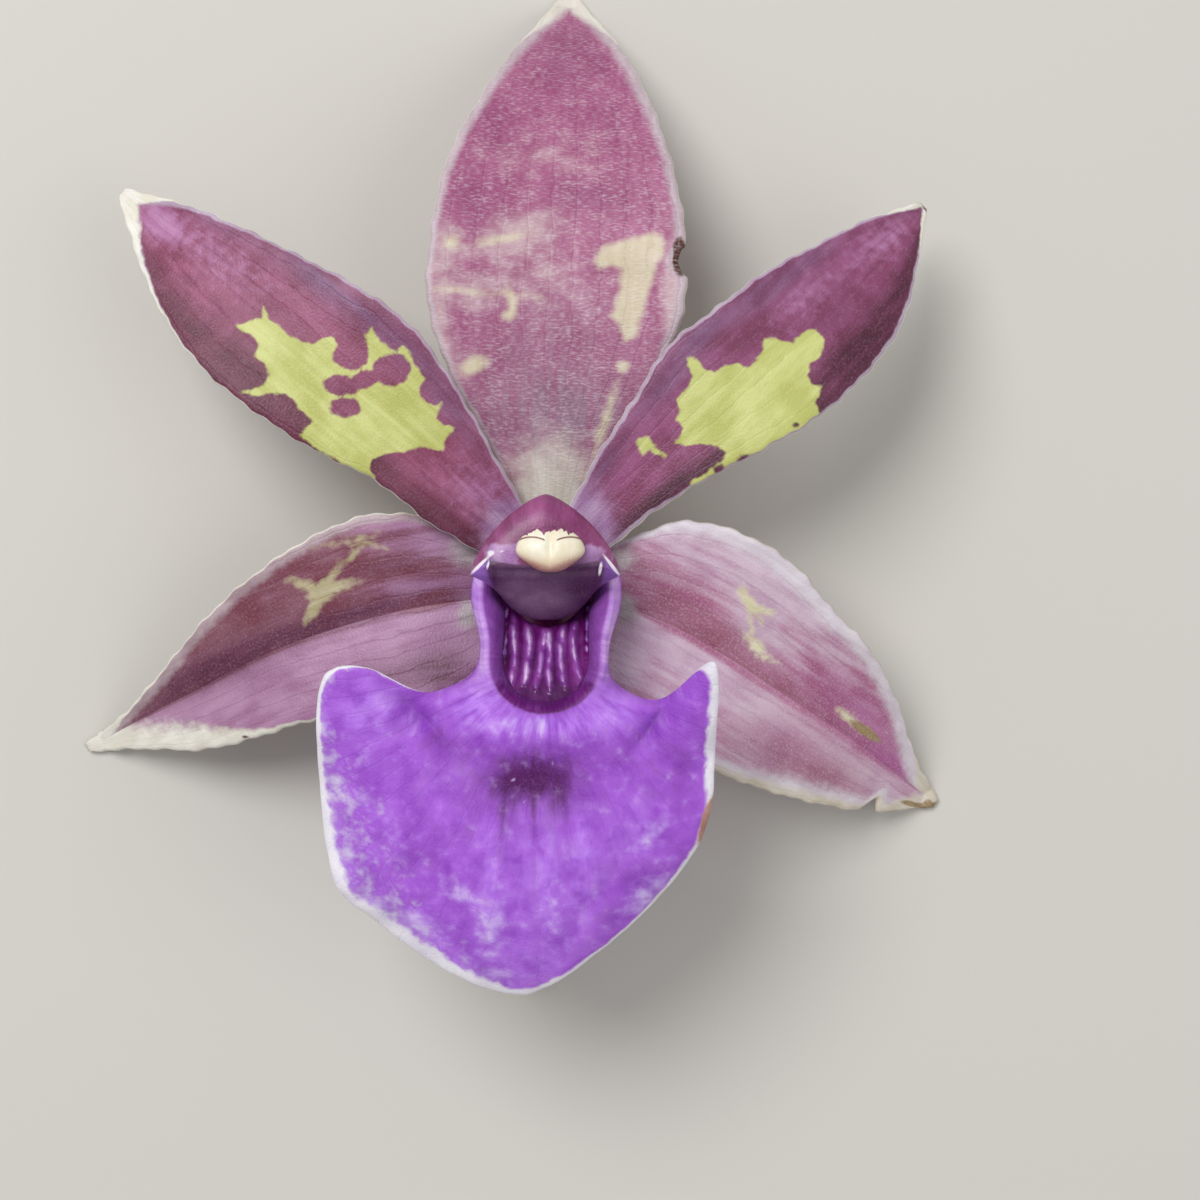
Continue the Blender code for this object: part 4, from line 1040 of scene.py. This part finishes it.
# %% Lip material and mesh
LIP_LOOK = {
    "gloss": {
        "Roughness": 0.5, "Specular_IOR_Level": 0.2, "Sheen_Weight": 0.07, "Sheen_Roughness": 0.35,
        "Sheen_Tint": linear("#C9A0F4"), "Subsurface_Weight": 0.15, "Subsurface_Scale": 1.0 * MM,
    },
    "noises": {
        "streaks": ("flow", (1.1, 0.5, 1), 1.0, 5), "clouds": ("surface", (1, 1, 1), 0.45, 6),
        "ragged": ("surface", (1, 1, 1), 0.9, 3),
    },
    "body": ("#8E42BC", "#B86CEA"),
    "contrast": (0.5, 1.2),
    "layers": [
        # Painted highlights and pale streaks
        layer("highlights_and_pale_streaks", ("#AE66E6", "#D29AFF"), fade=(0.3, 1.3)),
        # Dark heart and veins, partly painted shade in the hollows and creases
        layer("dark", ("#4C1250", "#62206A"), noise="streaks", rough=1.1, low=0.5, high=1.9),
        layer("vein", ("#6C34A0", "#6C34A0"), fade=(0.05, 0.05)),
        # Lavender arms, partly painted light on the crest's outer slope
        layer("arm", ("#BA80E8", "#EAC2FF"), fade=(0.7, 1.0)),
        # Whitish mottles, with painted glints and a painted highlight on the collar
        layer("mottles_and_glints", ("#B68CE8", "#E2D0F8"), rough=1.6, low=0.85, high=2.0, fade=(0.5, 1.0)),
        layer("frayed", ("#C6B2E2", "#ECE4F6"), rough=3.4, low=3.1, high=1.5, fade=(0.75, 1.0)),
        layer("edge", ("#E4DCEC", "#FBF9FD"), rough=0.9, low=1.75, high=1.15),
        layer("rust", ("#94645C", "#C9A08E"), rough=0.6, low=0.75, high=1.1),
        layer("throat", ("#7C3A92", "#9A56B6")),
        layer("deep", ("#561060", "#74207E"), rough=0.6, low=0.45, high=1.1),
        layer("back", ("#8E78BE", "#AA96D0"), fade=(0.55, 0.55)),
    ],
    "painted_glint": (0.09, "#C294F2"),
    "relief": 0.5,
    "wet": ("throat", 0.5, 0.36),
}
lip_taper = np.sqrt(np.clip(1 - lip_out**24, 0, 1)) * np.sqrt(np.clip(1 - np.abs(2 * across - 1) ** 80, 0, 1))
lip_taper[0] = 0
make_piece(
    "lip_blade", closed_sheet(lip_points, LIP_THICKNESS / 2 * lip_taper),
    tissue_skin("lip_violet_velvet", LIP_LOOK), "lip", "lip",
    surface=(lip_x, lip_y + 0.7 * lip_z),
    flow=(10 * lip_ray, np.hypot(lip_x, lip_y + 8.0)),
    **lip_values,
)

# %% [markdown]
# ## The callus
# The callus is a fleshy pad in the throat of the lip, dark magenta and wet-looking. Its ridges run forward
# from the column and splay towards its rounded front. It is a height field over a rounded outline: a floor
# that climbs to the front, plus one bell-shaped ridge for each of six curves, and a beaded rim.

# %% Callus shape
CALLUS_BACK, CALLUS_ROUND, CALLUS_FRONT = (-5.5, 16.3), -7.8, (-11.5, 21.3)
CALLUS_HALF_WIDTH = 3.55
# The pad's sides are straight for this share of its length, and then turn by this angle to its front
CALLUS_STRAIGHT, CALLUS_TURN = 0.4, math.radians(72)
# How far its sides reach back past its middle, how deep it is, and the spacing of its rungs and beads
CALLUS_SIDES_BACK, CALLUS_DEPTH, RUNG_MM, BEAD_MM = 2.4, 1.8, 0.62, 0.5
CALLUS_COLUMNS, CALLUS_ROWS = 221, 121
# Each ridge: its place across at the back, at two stations between and at the front, its width and height
RIDGES = [
    ((-2.6, -2.5, -2.6, -2.8), 0.3, 0.6), ((-1.4, -1.4, -1.6, -2.35), 0.34, 0.75),
    ((-0.15, -0.3, -0.6, -0.8), 0.32, 0.75), ((0.15, 0.25, 0.3, 0.4), 0.32, 0.75),
    ((1.25, 1.2, 1.3, 1.9), 0.34, 0.75), ((2.2, 2.2, 2.6, 2.85), 0.3, 0.6),
]


def callus_floor(y):
    """The height under the ridges: a straight climb from the back to the front."""
    share = (y - CALLUS_BACK[0]) / (CALLUS_FRONT[0] - CALLUS_BACK[0])
    return CALLUS_BACK[1] + (CALLUS_FRONT[1] - CALLUS_BACK[1]) * share


def callus_top(across, along):
    """Points over the outline: the floor, its raised sides, and height * exp(-(distance / width)^2)."""
    side = across * 2 - 1
    turn = np.clip((along - CALLUS_STRAIGHT) / (1 - CALLUS_STRAIGHT), 0, 1) * CALLUS_TURN
    x = side * CALLUS_HALF_WIDTH * np.cos(turn)
    # The back edge is a parabola, whose sides reach back beside the column
    back_y = CALLUS_BACK[0] + CALLUS_SIDES_BACK * side**2
    y = back_y + (CALLUS_ROUND - back_y) * np.clip(along / CALLUS_STRAIGHT, 0, 1)
    y = y + (CALLUS_FRONT[0] - CALLUS_ROUND) * np.sin(turn)
    station = (CALLUS_BACK[0] - y) / (CALLUS_BACK[0] - CALLUS_FRONT[0])
    ridge = np.zeros_like(x)
    for places, width, height in RIDGES:
        away = (x - smooth_through(places, station)) / width
        ridge = np.maximum(ridge, height * np.exp(-(away**2)))
    fade = np.clip(along / 0.12, 0, 1) * ease(1 - along, 0.1, 0.4) * ease(1 - np.abs(side), 0.0, 0.08)
    # Low uneven rungs cross the ridges, and beads stand along the raised sides
    rungs = ridge * 0.06 * np.sin(2 * np.pi * y / RUNG_MM + 3 * x + 1.5 * np.sin(2.3 * y))
    uneven = 0.8 + 0.25 * np.sin(1.9 * y + 4 * x) + 0.15 * np.sin(5.3 * y + 2 * x)
    beads = np.exp(-(((np.abs(side) - 0.92) / 0.06) ** 2)) * (1 - ease(along, 0.35, 0.6))
    beads = beads * ease(along, 0, 0.05)
    bumps = 0.55 + 0.45 * np.sin(2 * np.pi * y / BEAD_MM + 2 * np.sin(3 * y) + x)
    lift = 0.9 * side**4 * np.cos(turn) ** 3
    z = callus_floor(y) + lift + (ridge * uneven + rungs) * fade + 0.1 * beads * bumps
    return np.stack([x, y, z], axis=-1), ridge * uneven * fade, beads


across, along = grid(CALLUS_COLUMNS, CALLUS_ROWS)
across = 1 - across
callus_points, callus_ridge, callus_beads = callus_top(across, along)
callus_x, callus_y = callus_points[..., 0], callus_points[..., 1]
under = callus_points * [0.9, 0.9, 1] + [0, CALLUS_BACK[0] * 0.1, 0]
under[..., 2] = callus_floor(np.minimum(callus_y, CALLUS_BACK[0])) - CALLUS_DEPTH
print("callus ridges:", len(RIDGES))

# %% [markdown]
# ## Wet-looking flesh
# The callus shines because its cells are swollen and smooth, so they are drawn larger here. The gloss comes
# from a clear coat over a darker body. The ridges' sides are purple, and their crests are painted nearly
# white: a painted highlight where the wet crests catch the light. Some beads along the sides carry painted
# glints.

# %% Callus material and mesh
CALLUS_LOOK = {
    "gloss": {
        "Roughness": 0.3, "Specular_IOR_Level": 0.2, "Coat_Weight": 0.6, "Coat_Roughness": 0.1,
        "Subsurface_Weight": 0.15, "Subsurface_Scale": 0.6 * MM,
    },
    "noises": {"cells": ("surface", (1, 0.5, 1), 1.6, 3)},
    "body": ("#4C084C", "#701470"),
    "contrast": (0.65, 1.05),
    "layers": [
        layer("ridge", ("#863898", "#A65AB6"), low=0.05, high=0.32),
        # Painted highlight: the ridges' crests drawn nearly white, where the wet crests catch the light
        layer("ridge", ("#BE80D2", "#F2D6FC"), rough=0.6, low=0.65, high=1.0),
        layer("front", ("#46084C", "#5A0E5E")),
        # Painted glints on some of the beads along the raised sides
        layer("bead", ("#9A5CC0", "#D9B4F0"), rough=2.4, low=1.9, high=2.5),
    ],
    "painted_glint": (0.15, "#B070C0"),
    "relief": 0.5,
}
make_piece(
    "callus_pad", closed_pair(callus_points, under), tissue_skin("callus_wet_flesh", CALLUS_LOOK),
    "callus", "lip_callus",
    surface=(callus_x, callus_y),
    ridge=callus_ridge, bead=callus_beads, front=ease(along, 0.6, 0.85),
)

# %% [markdown]
# ## Round pieces
# The column, the cap and the stalk are round. Their grids run once round, so the last column of points is
# joined to the first, and a fan of triangles closes each end. A ready-made cylinder would have to be bent
# and pulled into shape by hand.

# %% Tube helper


def closed_tube(points):
    """A tube: the last column meets the first, and each end is closed at the middle of its row."""
    rows, columns = points.shape[:2]
    index = np.arange(rows * columns).reshape(rows, columns)
    index = np.column_stack([index, index[:, 0]])
    low, high = rows * columns, rows * columns + 1
    first, last = index[0], index[-1]
    low_fan = np.column_stack([np.full(columns, low), first[1:], first[:-1]])
    high_fan = np.column_stack([np.full(columns, high), last[:-1], last[1:]])
    centres = np.stack([points[0].mean(0), points[-1].mean(0)])
    faces = quads(index).tolist() + low_fan.tolist() + high_fan.tolist()
    source = np.concatenate([np.arange(rows * columns), [0, (rows - 1) * columns]])
    return np.concatenate([points.reshape(-1, 3), centres]), faces, source, np.zeros(len(source))


print("helper for round pieces is ready")

# %% [markdown]
# ## The column
# The column joins the stamen and the pistil in one body. From in front it is a plum hood over the cream
# cap, with a wing on each side, a pale lilac rim, and a grey-purple underside that hollows down to the
# throat. Its shape is a stack of level sections. Each section is a half superellipse towards the top sepal
# and another towards the lip, and a smooth curve runs through the sections' sizes.

# %% Column shape
COLUMN_LEVELS = [
    (10.7, 2.7, 3.0, -1.5, -6.8), (12.0, 2.8, 3.0, -1.5, -6.8), (13.0, 2.8, 3.1, -1.3, -6.2),
    (14.0, 3.2, 3.3, -1.1, -4.9), (15.0, 3.4, 3.7, -1.2, -4.3), (16.0, 3.5, 4.2, -1.2, -4.4),
    (17.0, 3.7, 4.6, -1.1, -4.9), (17.9, 4.0, 4.9, -1.0, -4.7), (18.8, 4.5, 5.1, -0.9, -3.9),
    (19.5, 5.3, 5.1, -1.0, -2.8), (20.2, 5.9, 4.9, -1.2, -2.0), (20.8, 5.7, 4.5, -1.2, -1.5),
    (21.2, 5.0, 3.95, -0.8, -1.0), (21.5, 4.0, 3.2, -0.5, -0.8), (21.65, 2.8, 2.2, -0.3, -0.6),
]
COLUMN_SIDES, COLUMN_ROWS = 200, 160
# The share of the rows that climbs the levels, and how square a section is on each side (2 is an ellipse)
LEVELS_SHARE, BACK_POWER, FRONT_POWER = 0.92, 1.48, 2.4


def column_surface(around, along):
    """Level sections (height, half-width, back, widest, front), each a pair of half superellipses."""
    grown = np.clip(along / LEVELS_SHARE, 0, 1)
    height, half_width, back, widest, front = np.moveaxis(smooth_through(COLUMN_LEVELS, grown), -1, 0)
    turn = around * 2 * np.pi
    x_share, y_share = np.cos(turn), np.sin(turn)
    power = np.where(y_share > 0, BACK_POWER, FRONT_POWER)
    scale = (np.abs(x_share) ** power + np.abs(y_share) ** power) ** (-1 / power)
    reach = np.where(y_share > 0, back - widest, widest - front)
    # The last rows close the top: they shrink towards its middle
    shrink = 1 - 0.97 * np.clip((along - LEVELS_SHARE) / (1 - LEVELS_SHARE), 0, 1)
    centre = (back + front) / 2
    x = half_width * x_share * scale * shrink
    y = centre + (widest + reach * y_share * scale - centre) * shrink
    return np.stack([x, y, height + 0.1 * (1 - shrink)], axis=-1)


around, along = grid(COLUMN_SIDES + 1, COLUMN_ROWS)
column_points = column_surface(around[:, :-1], along[:, :-1])
x, y, z = np.moveaxis(column_points, -1, 0)
print("column levels:", len(COLUMN_LEVELS))

# %% [markdown]
# ## The column's colours
# From the top sepal towards the lip the colours change in zones: the plum hood, a pale lilac strip with a
# ragged border beside the cap, and the shaded grey-purple underside. Each wing ends in a white edge with a
# small white tooth beside it, and under the wing the arm's purple is mirrored in the smooth skin.

# %% Column patterns, material and mesh
# The underside begins at a curve that is lowest in the middle, behind the cap
off_middle = np.abs(x)
border = 0.5 * (off_middle / 4.2) ** 2 - 0.7
front_side = ease(border - y, -0.1, 0.1) * ease(z, 14.0, 15.0)
outer = ease(off_middle, 4.0, 4.5)
strip = ease(1.6 - y - 0.03 * x, 0.0, 1.0) * ease(z, 19.2, 20.2) * ease(off_middle, 1.2, 2.6)
wing_foot = 0.75 * (off_middle - 4.4)
column_values = {
    "strip": strip * (1 - 0.6 * ease(off_middle, 3.9, 5.0)),
    "shield": front_side * (1 - outer),
    "shade": soft_spots(x, y, [
        (3.2, -2.6, 1.9, 2.4, 0, 1.2), (-4.0, -1.6, 0.6, 1.6, 0, 0.8), (0.0, -0.8, 4.0, 0.4, 0, 0.5),
        (-4.3, -0.9, 0.25, 1.0, 8, 0.8), (4.3, -1.0, 0.25, 1.0, -8, 0.8),
        (0.0, -4.6, 3.0, 0.6, 0, 0.4),
    ]),
    "mirrored": ease(-y, wing_foot - 0.1, wing_foot + 0.1) * outer,
    "white": soft_spots(x, y, [
        (-5.2, -0.62, 1.1, 0.14, 43, 1.3), (5.3, -0.66, 1.2, 0.14, -52, 1.3), (-4.5, -0.6, 0.4, 0.1, 75, 1.2),
        (4.35, -0.85, 0.6, 0.13, 80, 1.3), (-4.3, 0.4, 0.35, 0.25, 0, 0.9), (-3.4, 0.5, 0.3, 0.12, 20, 0.7),
    ]) * ease(z, 18.0, 19.5),
    "deep": 1 - ease(z, 15.5, 17.2),
}
COLUMN_LOOK = {
    "gloss": {
        "Roughness": 0.4, "Coat_Weight": 0.1, "Coat_Roughness": 0.25, "Subsurface_Weight": 0.12,
        "Subsurface_Scale": 0.6 * MM,
    },
    "noises": {"streaks": ("flow", (0.8, 0.35, 1), 0.7, 3), "clouds": ("surface", (1, 1, 1), 0.5, 4)},
    "body": ("#742658", "#A05088"),
    "contrast": (0.6, 1.15),
    "layers": [
        layer("strip", ("#9C64A4", "#D4AEDC"), rough=1.2, low=0.9, high=1.5),
        layer("shield", ("#644264", "#7E5C7E"), low=0.2, high=0.8),
        layer("mirrored", ("#824AB0", "#A26CCE"), low=0.2, high=0.8),
        layer("shade", ("#3E123E", "#4C1C48"), fade=(0.7, 1.0)),
        layer("white", ("#EBDFEE", "#F6F0F6"), low=0.35, high=0.8),
        layer("deep", ("#6C1250", "#7E1C62")),
    ],
    "painted_glint": (0.12, "#C08AB4"),
    "relief": 0.3,
}
make_piece(
    "column_body", closed_tube(column_points), tissue_skin("column_smooth_satin", COLUMN_LOOK),
    "column", "column",
    surface=(x, y + 0.8 * z),
    **column_values,
)

# %% [markdown]
# ## The anther cap
# The cream cap covers the pollen. It has two lobes with a groove between them, a blunt peach-coloured end
# that points at the lip, and a thin brown furrow across each lobe. The hood's plum skin grows a little way
# over the cap's upper side and ends there in a ragged edge.

# %% Anther cap
CAP_X, CAP_Y, CAP_SEAT_Z = 0.42, 0.55, 21.8
CAP_HALF_WIDTH, CAP_HALF_LENGTH, CAP_HEIGHT = 2.72, 1.9, 1.5
# Each furrow is an arc over its lobe, whose middle lies beside the groove
FURROW_MIDDLE, FURROW_HALF_LENGTH, FURROW_HALF_WIDTH, FURROW_DEPTH = 1.55, 1.15, 0.08, 0.1
# The hood's border over the cap, as points (x, y), before the noise makes it ragged
HOOD_EDGE = [
    (-2.6, 0.9), (-1.9, 1.75), (-0.9, 2.17), (0.3, 1.92), (1.3, 2.26), (2.35, 1.92), (3.0, 1.4), (3.4, 0.9),
]


def cap_surface(around, up):
    """Half an egg with a blunt end: an outline times cos(up), with height sin(up) and a groove."""
    turn, rise = around * 2 * np.pi, up * np.pi / 2
    x, y = np.cos(turn) * np.cos(rise), np.sin(turn) * np.cos(rise)
    px = CAP_X + CAP_HALF_WIDTH * x * (1 - 0.52 * np.clip(-y, 0, 1) ** 1.5)
    blunt = np.where(y < -0.7, -0.7 - 0.22 * np.tanh((-0.7 - y) / 0.22), y)
    lobes = 1 - 0.2 * np.exp(-((x / 0.15) ** 2)) * ease(y, -0.6, 0.2)
    height = CAP_HEIGHT * np.sin(rise) ** 0.85 * lobes * (1 - 0.35 * ease(y, 0.2, 1.0))
    return np.stack([px, CAP_Y + CAP_HALF_LENGTH * blunt, CAP_SEAT_Z + height], axis=-1)


around, up = grid(181, 70)
cap_points = cap_surface(around[:, :-1], up[:, :-1] * 0.995)
x, y = cap_points[..., 0], cap_points[..., 1]
from_arc_middle = (np.abs(x - 0.5) - FURROW_MIDDLE) / FURROW_HALF_LENGTH
arc = 1.6 - 0.28 * from_arc_middle**2
furrow = np.exp(-(((y - arc) / FURROW_HALF_WIDTH) ** 2)) * (1 - ease(np.abs(from_arc_middle), 0.85, 1.05))
cap_points[..., 2] -= FURROW_DEPTH * furrow
cap_values = {
    "furrow": furrow,
    "peach": ease(-y + 0.25 * np.abs(x - CAP_X), -0.2, 1.3),
    "tip": ease(-y + 0.35 * np.abs(x - CAP_X), 0.5, 1.1),
    "hood": (y - np.interp(x, *zip(*HOOD_EDGE))) / 0.35,
}
CAP_LOOK = {
    "gloss": {
        "Roughness": 0.36, "Coat_Weight": 0.1, "Coat_Roughness": 0.25, "Subsurface_Weight": 0.25,
        "Subsurface_Scale": 0.8 * MM,
    },
    "noises": {"ragged": ("surface", (1.6, 0.8, 1), 1.6, 3)},
    "body": ("#F0E2C2", "#FFF8E6"),
    "contrast": (0.6, 1.1),
    "layers": [
        layer("peach", ("#D8AC88", "#E6C4A2"), fade=(0.8, 1.0)),
        layer("tip", ("#B47E74", "#C48E80"), fade=(0.8, 1.0)),
        layer("furrow", ("#7A4A44", "#8A5A50"), low=0.15, high=0.9),
        layer("hood", ("#742658", "#8E3E74"), rough=3.0, low=1.1, high=1.5),
    ],
    "painted_glint": (0.1, "#FFFFFF"),
    "relief": 0.25,
}
make_piece(
    "anther_cap_dome", closed_tube(cap_points), tissue_skin("cap_cream_wax", CAP_LOOK),
    "anther", "anther_cap",
    surface=(x, y),
    **cap_values,
)
print("cap half-width in mm:", round(float(np.ptp(x) / 2), 2))

# %% [markdown]
# ## The pollinarium
# Under the cap lie the waxy yellow pollen masses. The cap hides them, so the solid piece's own shape is
# kept and given a material: yellow wax with pores a third of a millimetre apart.

# %% Pollen masses
pollen_wax, pollen_shader = new_skin(
    "pollen_yellow_wax", Roughness=0.3, Subsurface_Weight=0.2, Subsurface_Scale=0.5 * MM
)
tree = pollen_wax.node_tree
place = add_node(tree, "TexCoord", {}, "Object")
pores = add_node(tree, "TexNoise", {"Vector": place, "Scale": 3 / MM, "Detail": 3})
inputs = {0: pores, 6: linear("#C98E1E"), 7: linear("#F2CE5A")}
tree.links.new(add_node(tree, "Mix", inputs, 2, data_type="RGBA"), pollen_shader.inputs["Base Color"])
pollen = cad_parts["pollinarium"]
pollen.data.materials.clear()
pollen.data.materials.append(pollen_wax)
print("pollen masses keep the solid's shape")

# %% [markdown]
# ## The ovary and its stalk
# Behind the flower the ribbed, twisted ovary bends down to the surface and runs on as the stalk to its cut
# end. It is a round section carried along a path: a straight line and a quarter circle. The radius changes
# smoothly, six low ribs turn round it, and it is flat where it rests.

# %% Stalk shape
STALK_TOP_Z, STALK_BEND, STALK_END = 10.4, 8.75, (-2.6, -36.8, 1.75)
STALK_RADII = [1.55, 1.45, 1.5, 1.65, 1.9, 2.1, 2.2, 2.3, 2.75]
STALK_TWIST = math.radians(150)
# The number of ribs, and how high they are as a share of the radius
RIBS, RIB_SHARE = 6, 0.07


def stalk_surface(around, along):
    """Centre line + radius * (1 + rib share * cos(ribs * (angle + twist))) round it, above the surface."""
    straight = -STALK_BEND - STALK_END[1]
    run = along * (straight + STALK_BEND * np.pi / 2)
    on_line = np.clip(run / straight, 0, 1)
    turn = np.clip((run - straight) / STALK_BEND, 0, np.pi / 2)
    centre_x = STALK_END[0] * (1 - on_line) ** 2
    centre_y = STALK_END[1] + straight * on_line + STALK_BEND * np.sin(turn)
    centre_z = STALK_END[2] + (STALK_TOP_Z - STALK_BEND - STALK_END[2]) * on_line
    centre_z = centre_z + STALK_BEND * (1 - np.cos(turn))
    angle = around * 2 * np.pi
    rib = np.cos(RIBS * (angle + STALK_TWIST * along))
    radius = smooth_through(STALK_RADII, along) * (1 + RIB_SHARE * rib)
    x = centre_x + radius * np.cos(angle)
    y = centre_y - radius * np.sin(angle) * np.sin(turn)
    z = centre_z + radius * np.sin(angle) * np.cos(turn)
    return np.stack([x, y, np.maximum(z, 0)], axis=-1), rib, run


around, along = grid(145, 220)
around, along = 1 - around[:, :-1], along[:, :-1]
stalk_points, stalk_rib, stalk_run = stalk_surface(around, along)
print("stalk length in mm:", round(float(stalk_run.max()), 1))

# %% [markdown]
# ## The stalk's skin
# The stalk has a smooth, waxy green skin with long pale streaks, paler along its ribs. Towards the flower it
# flushes purple-brown, and its cut end has dried.

# %% Stalk material and mesh
STALK_LOOK = {
    "gloss": {"Roughness": 0.4, "Subsurface_Weight": 0.15, "Subsurface_Scale": 1.0 * MM},
    "body": ("#5E8A1C", "#93BC3C"),
    "contrast": (0.65, 1.05),
    "layers": [
        layer("rib", ("#94B84A", "#A9C960"), fade=(0.3, 0.6)),
        layer("flush", ("#6E4040", "#8A5A54"), fade=(0.2, 0.7)),
        layer("cut", ("#A08E60", "#C4B48A")),
    ],
    "painted_glint": (0.15, "#C8DC8C"),
    "relief": 0.35,
}
make_piece(
    "stalk_ribbed", closed_tube(stalk_points), tissue_skin("stalk_waxy_green", STALK_LOOK),
    "stalk", "ovary_and_pedicel",
    surface=(12 * around, stalk_run),
    rib=np.clip(stalk_rib, 0, 1), flush=ease(along, 0.5, 1.0), cut=1 - ease(along, 0.0, 0.02),
)

# %% [markdown]
# ## Floor and light
# A plain pale floor and soft light from large lamps, as under an open sky: the brighter one high on the
# upper left, a weaker one on the right. Large lamps make soft shadows and broad, gentle highlights.

# %% Floor, lamps and sky
floor_mesh = bpy.data.meshes.new("floor")
floor_mesh.from_pydata([(-3, -3, 0), (3, -3, 0), (3, 3, 0), (-3, 3, 0)], [], [(0, 1, 2, 3)])
floor = bpy.data.objects.new("floor", floor_mesh)
floor_finish, _ = new_skin("pale_matt_floor", Roughness=0.85, Base_Color=linear("#D6D3CC"))
floor_mesh.materials.append(floor_finish)
bpy.context.scene.collection.objects.link(floor)

# Each lamp: its place and its width in metres, and its power in watts
LAMPS = {"key_lamp": ((-0.22, 0.25, 0.5), 0.35, 2.3), "fill_lamp": ((0.35, -0.1, 0.4), 0.4, 0.5)}
for name, (place, size, power) in LAMPS.items():
    lamp_data = bpy.data.lights.new(name, "AREA")
    lamp_data.shape = "DISK"
    lamp_data.size = size
    lamp_data.energy = power
    lamp = bpy.data.objects.new(name, lamp_data)
    lamp.location = place
    lamp.rotation_euler = (-lamp.location.normalized()).to_track_quat("-Z", "Y").to_euler()
    bpy.context.scene.collection.objects.link(lamp)

sky = bpy.data.worlds.new("soft_sky")
sky.use_nodes = True
sky.node_tree.nodes["Background"].inputs["Color"].default_value = (0.9, 0.9, 0.9, 1.0)
sky.node_tree.nodes["Background"].inputs["Strength"].default_value = 0.42
bpy.context.scene.world = sky
# Colours are shown as they are. The default film-like curve would grey the violet.
bpy.context.scene.view_settings.view_transform = "Standard"
print("floor, two lamps and a soft sky")
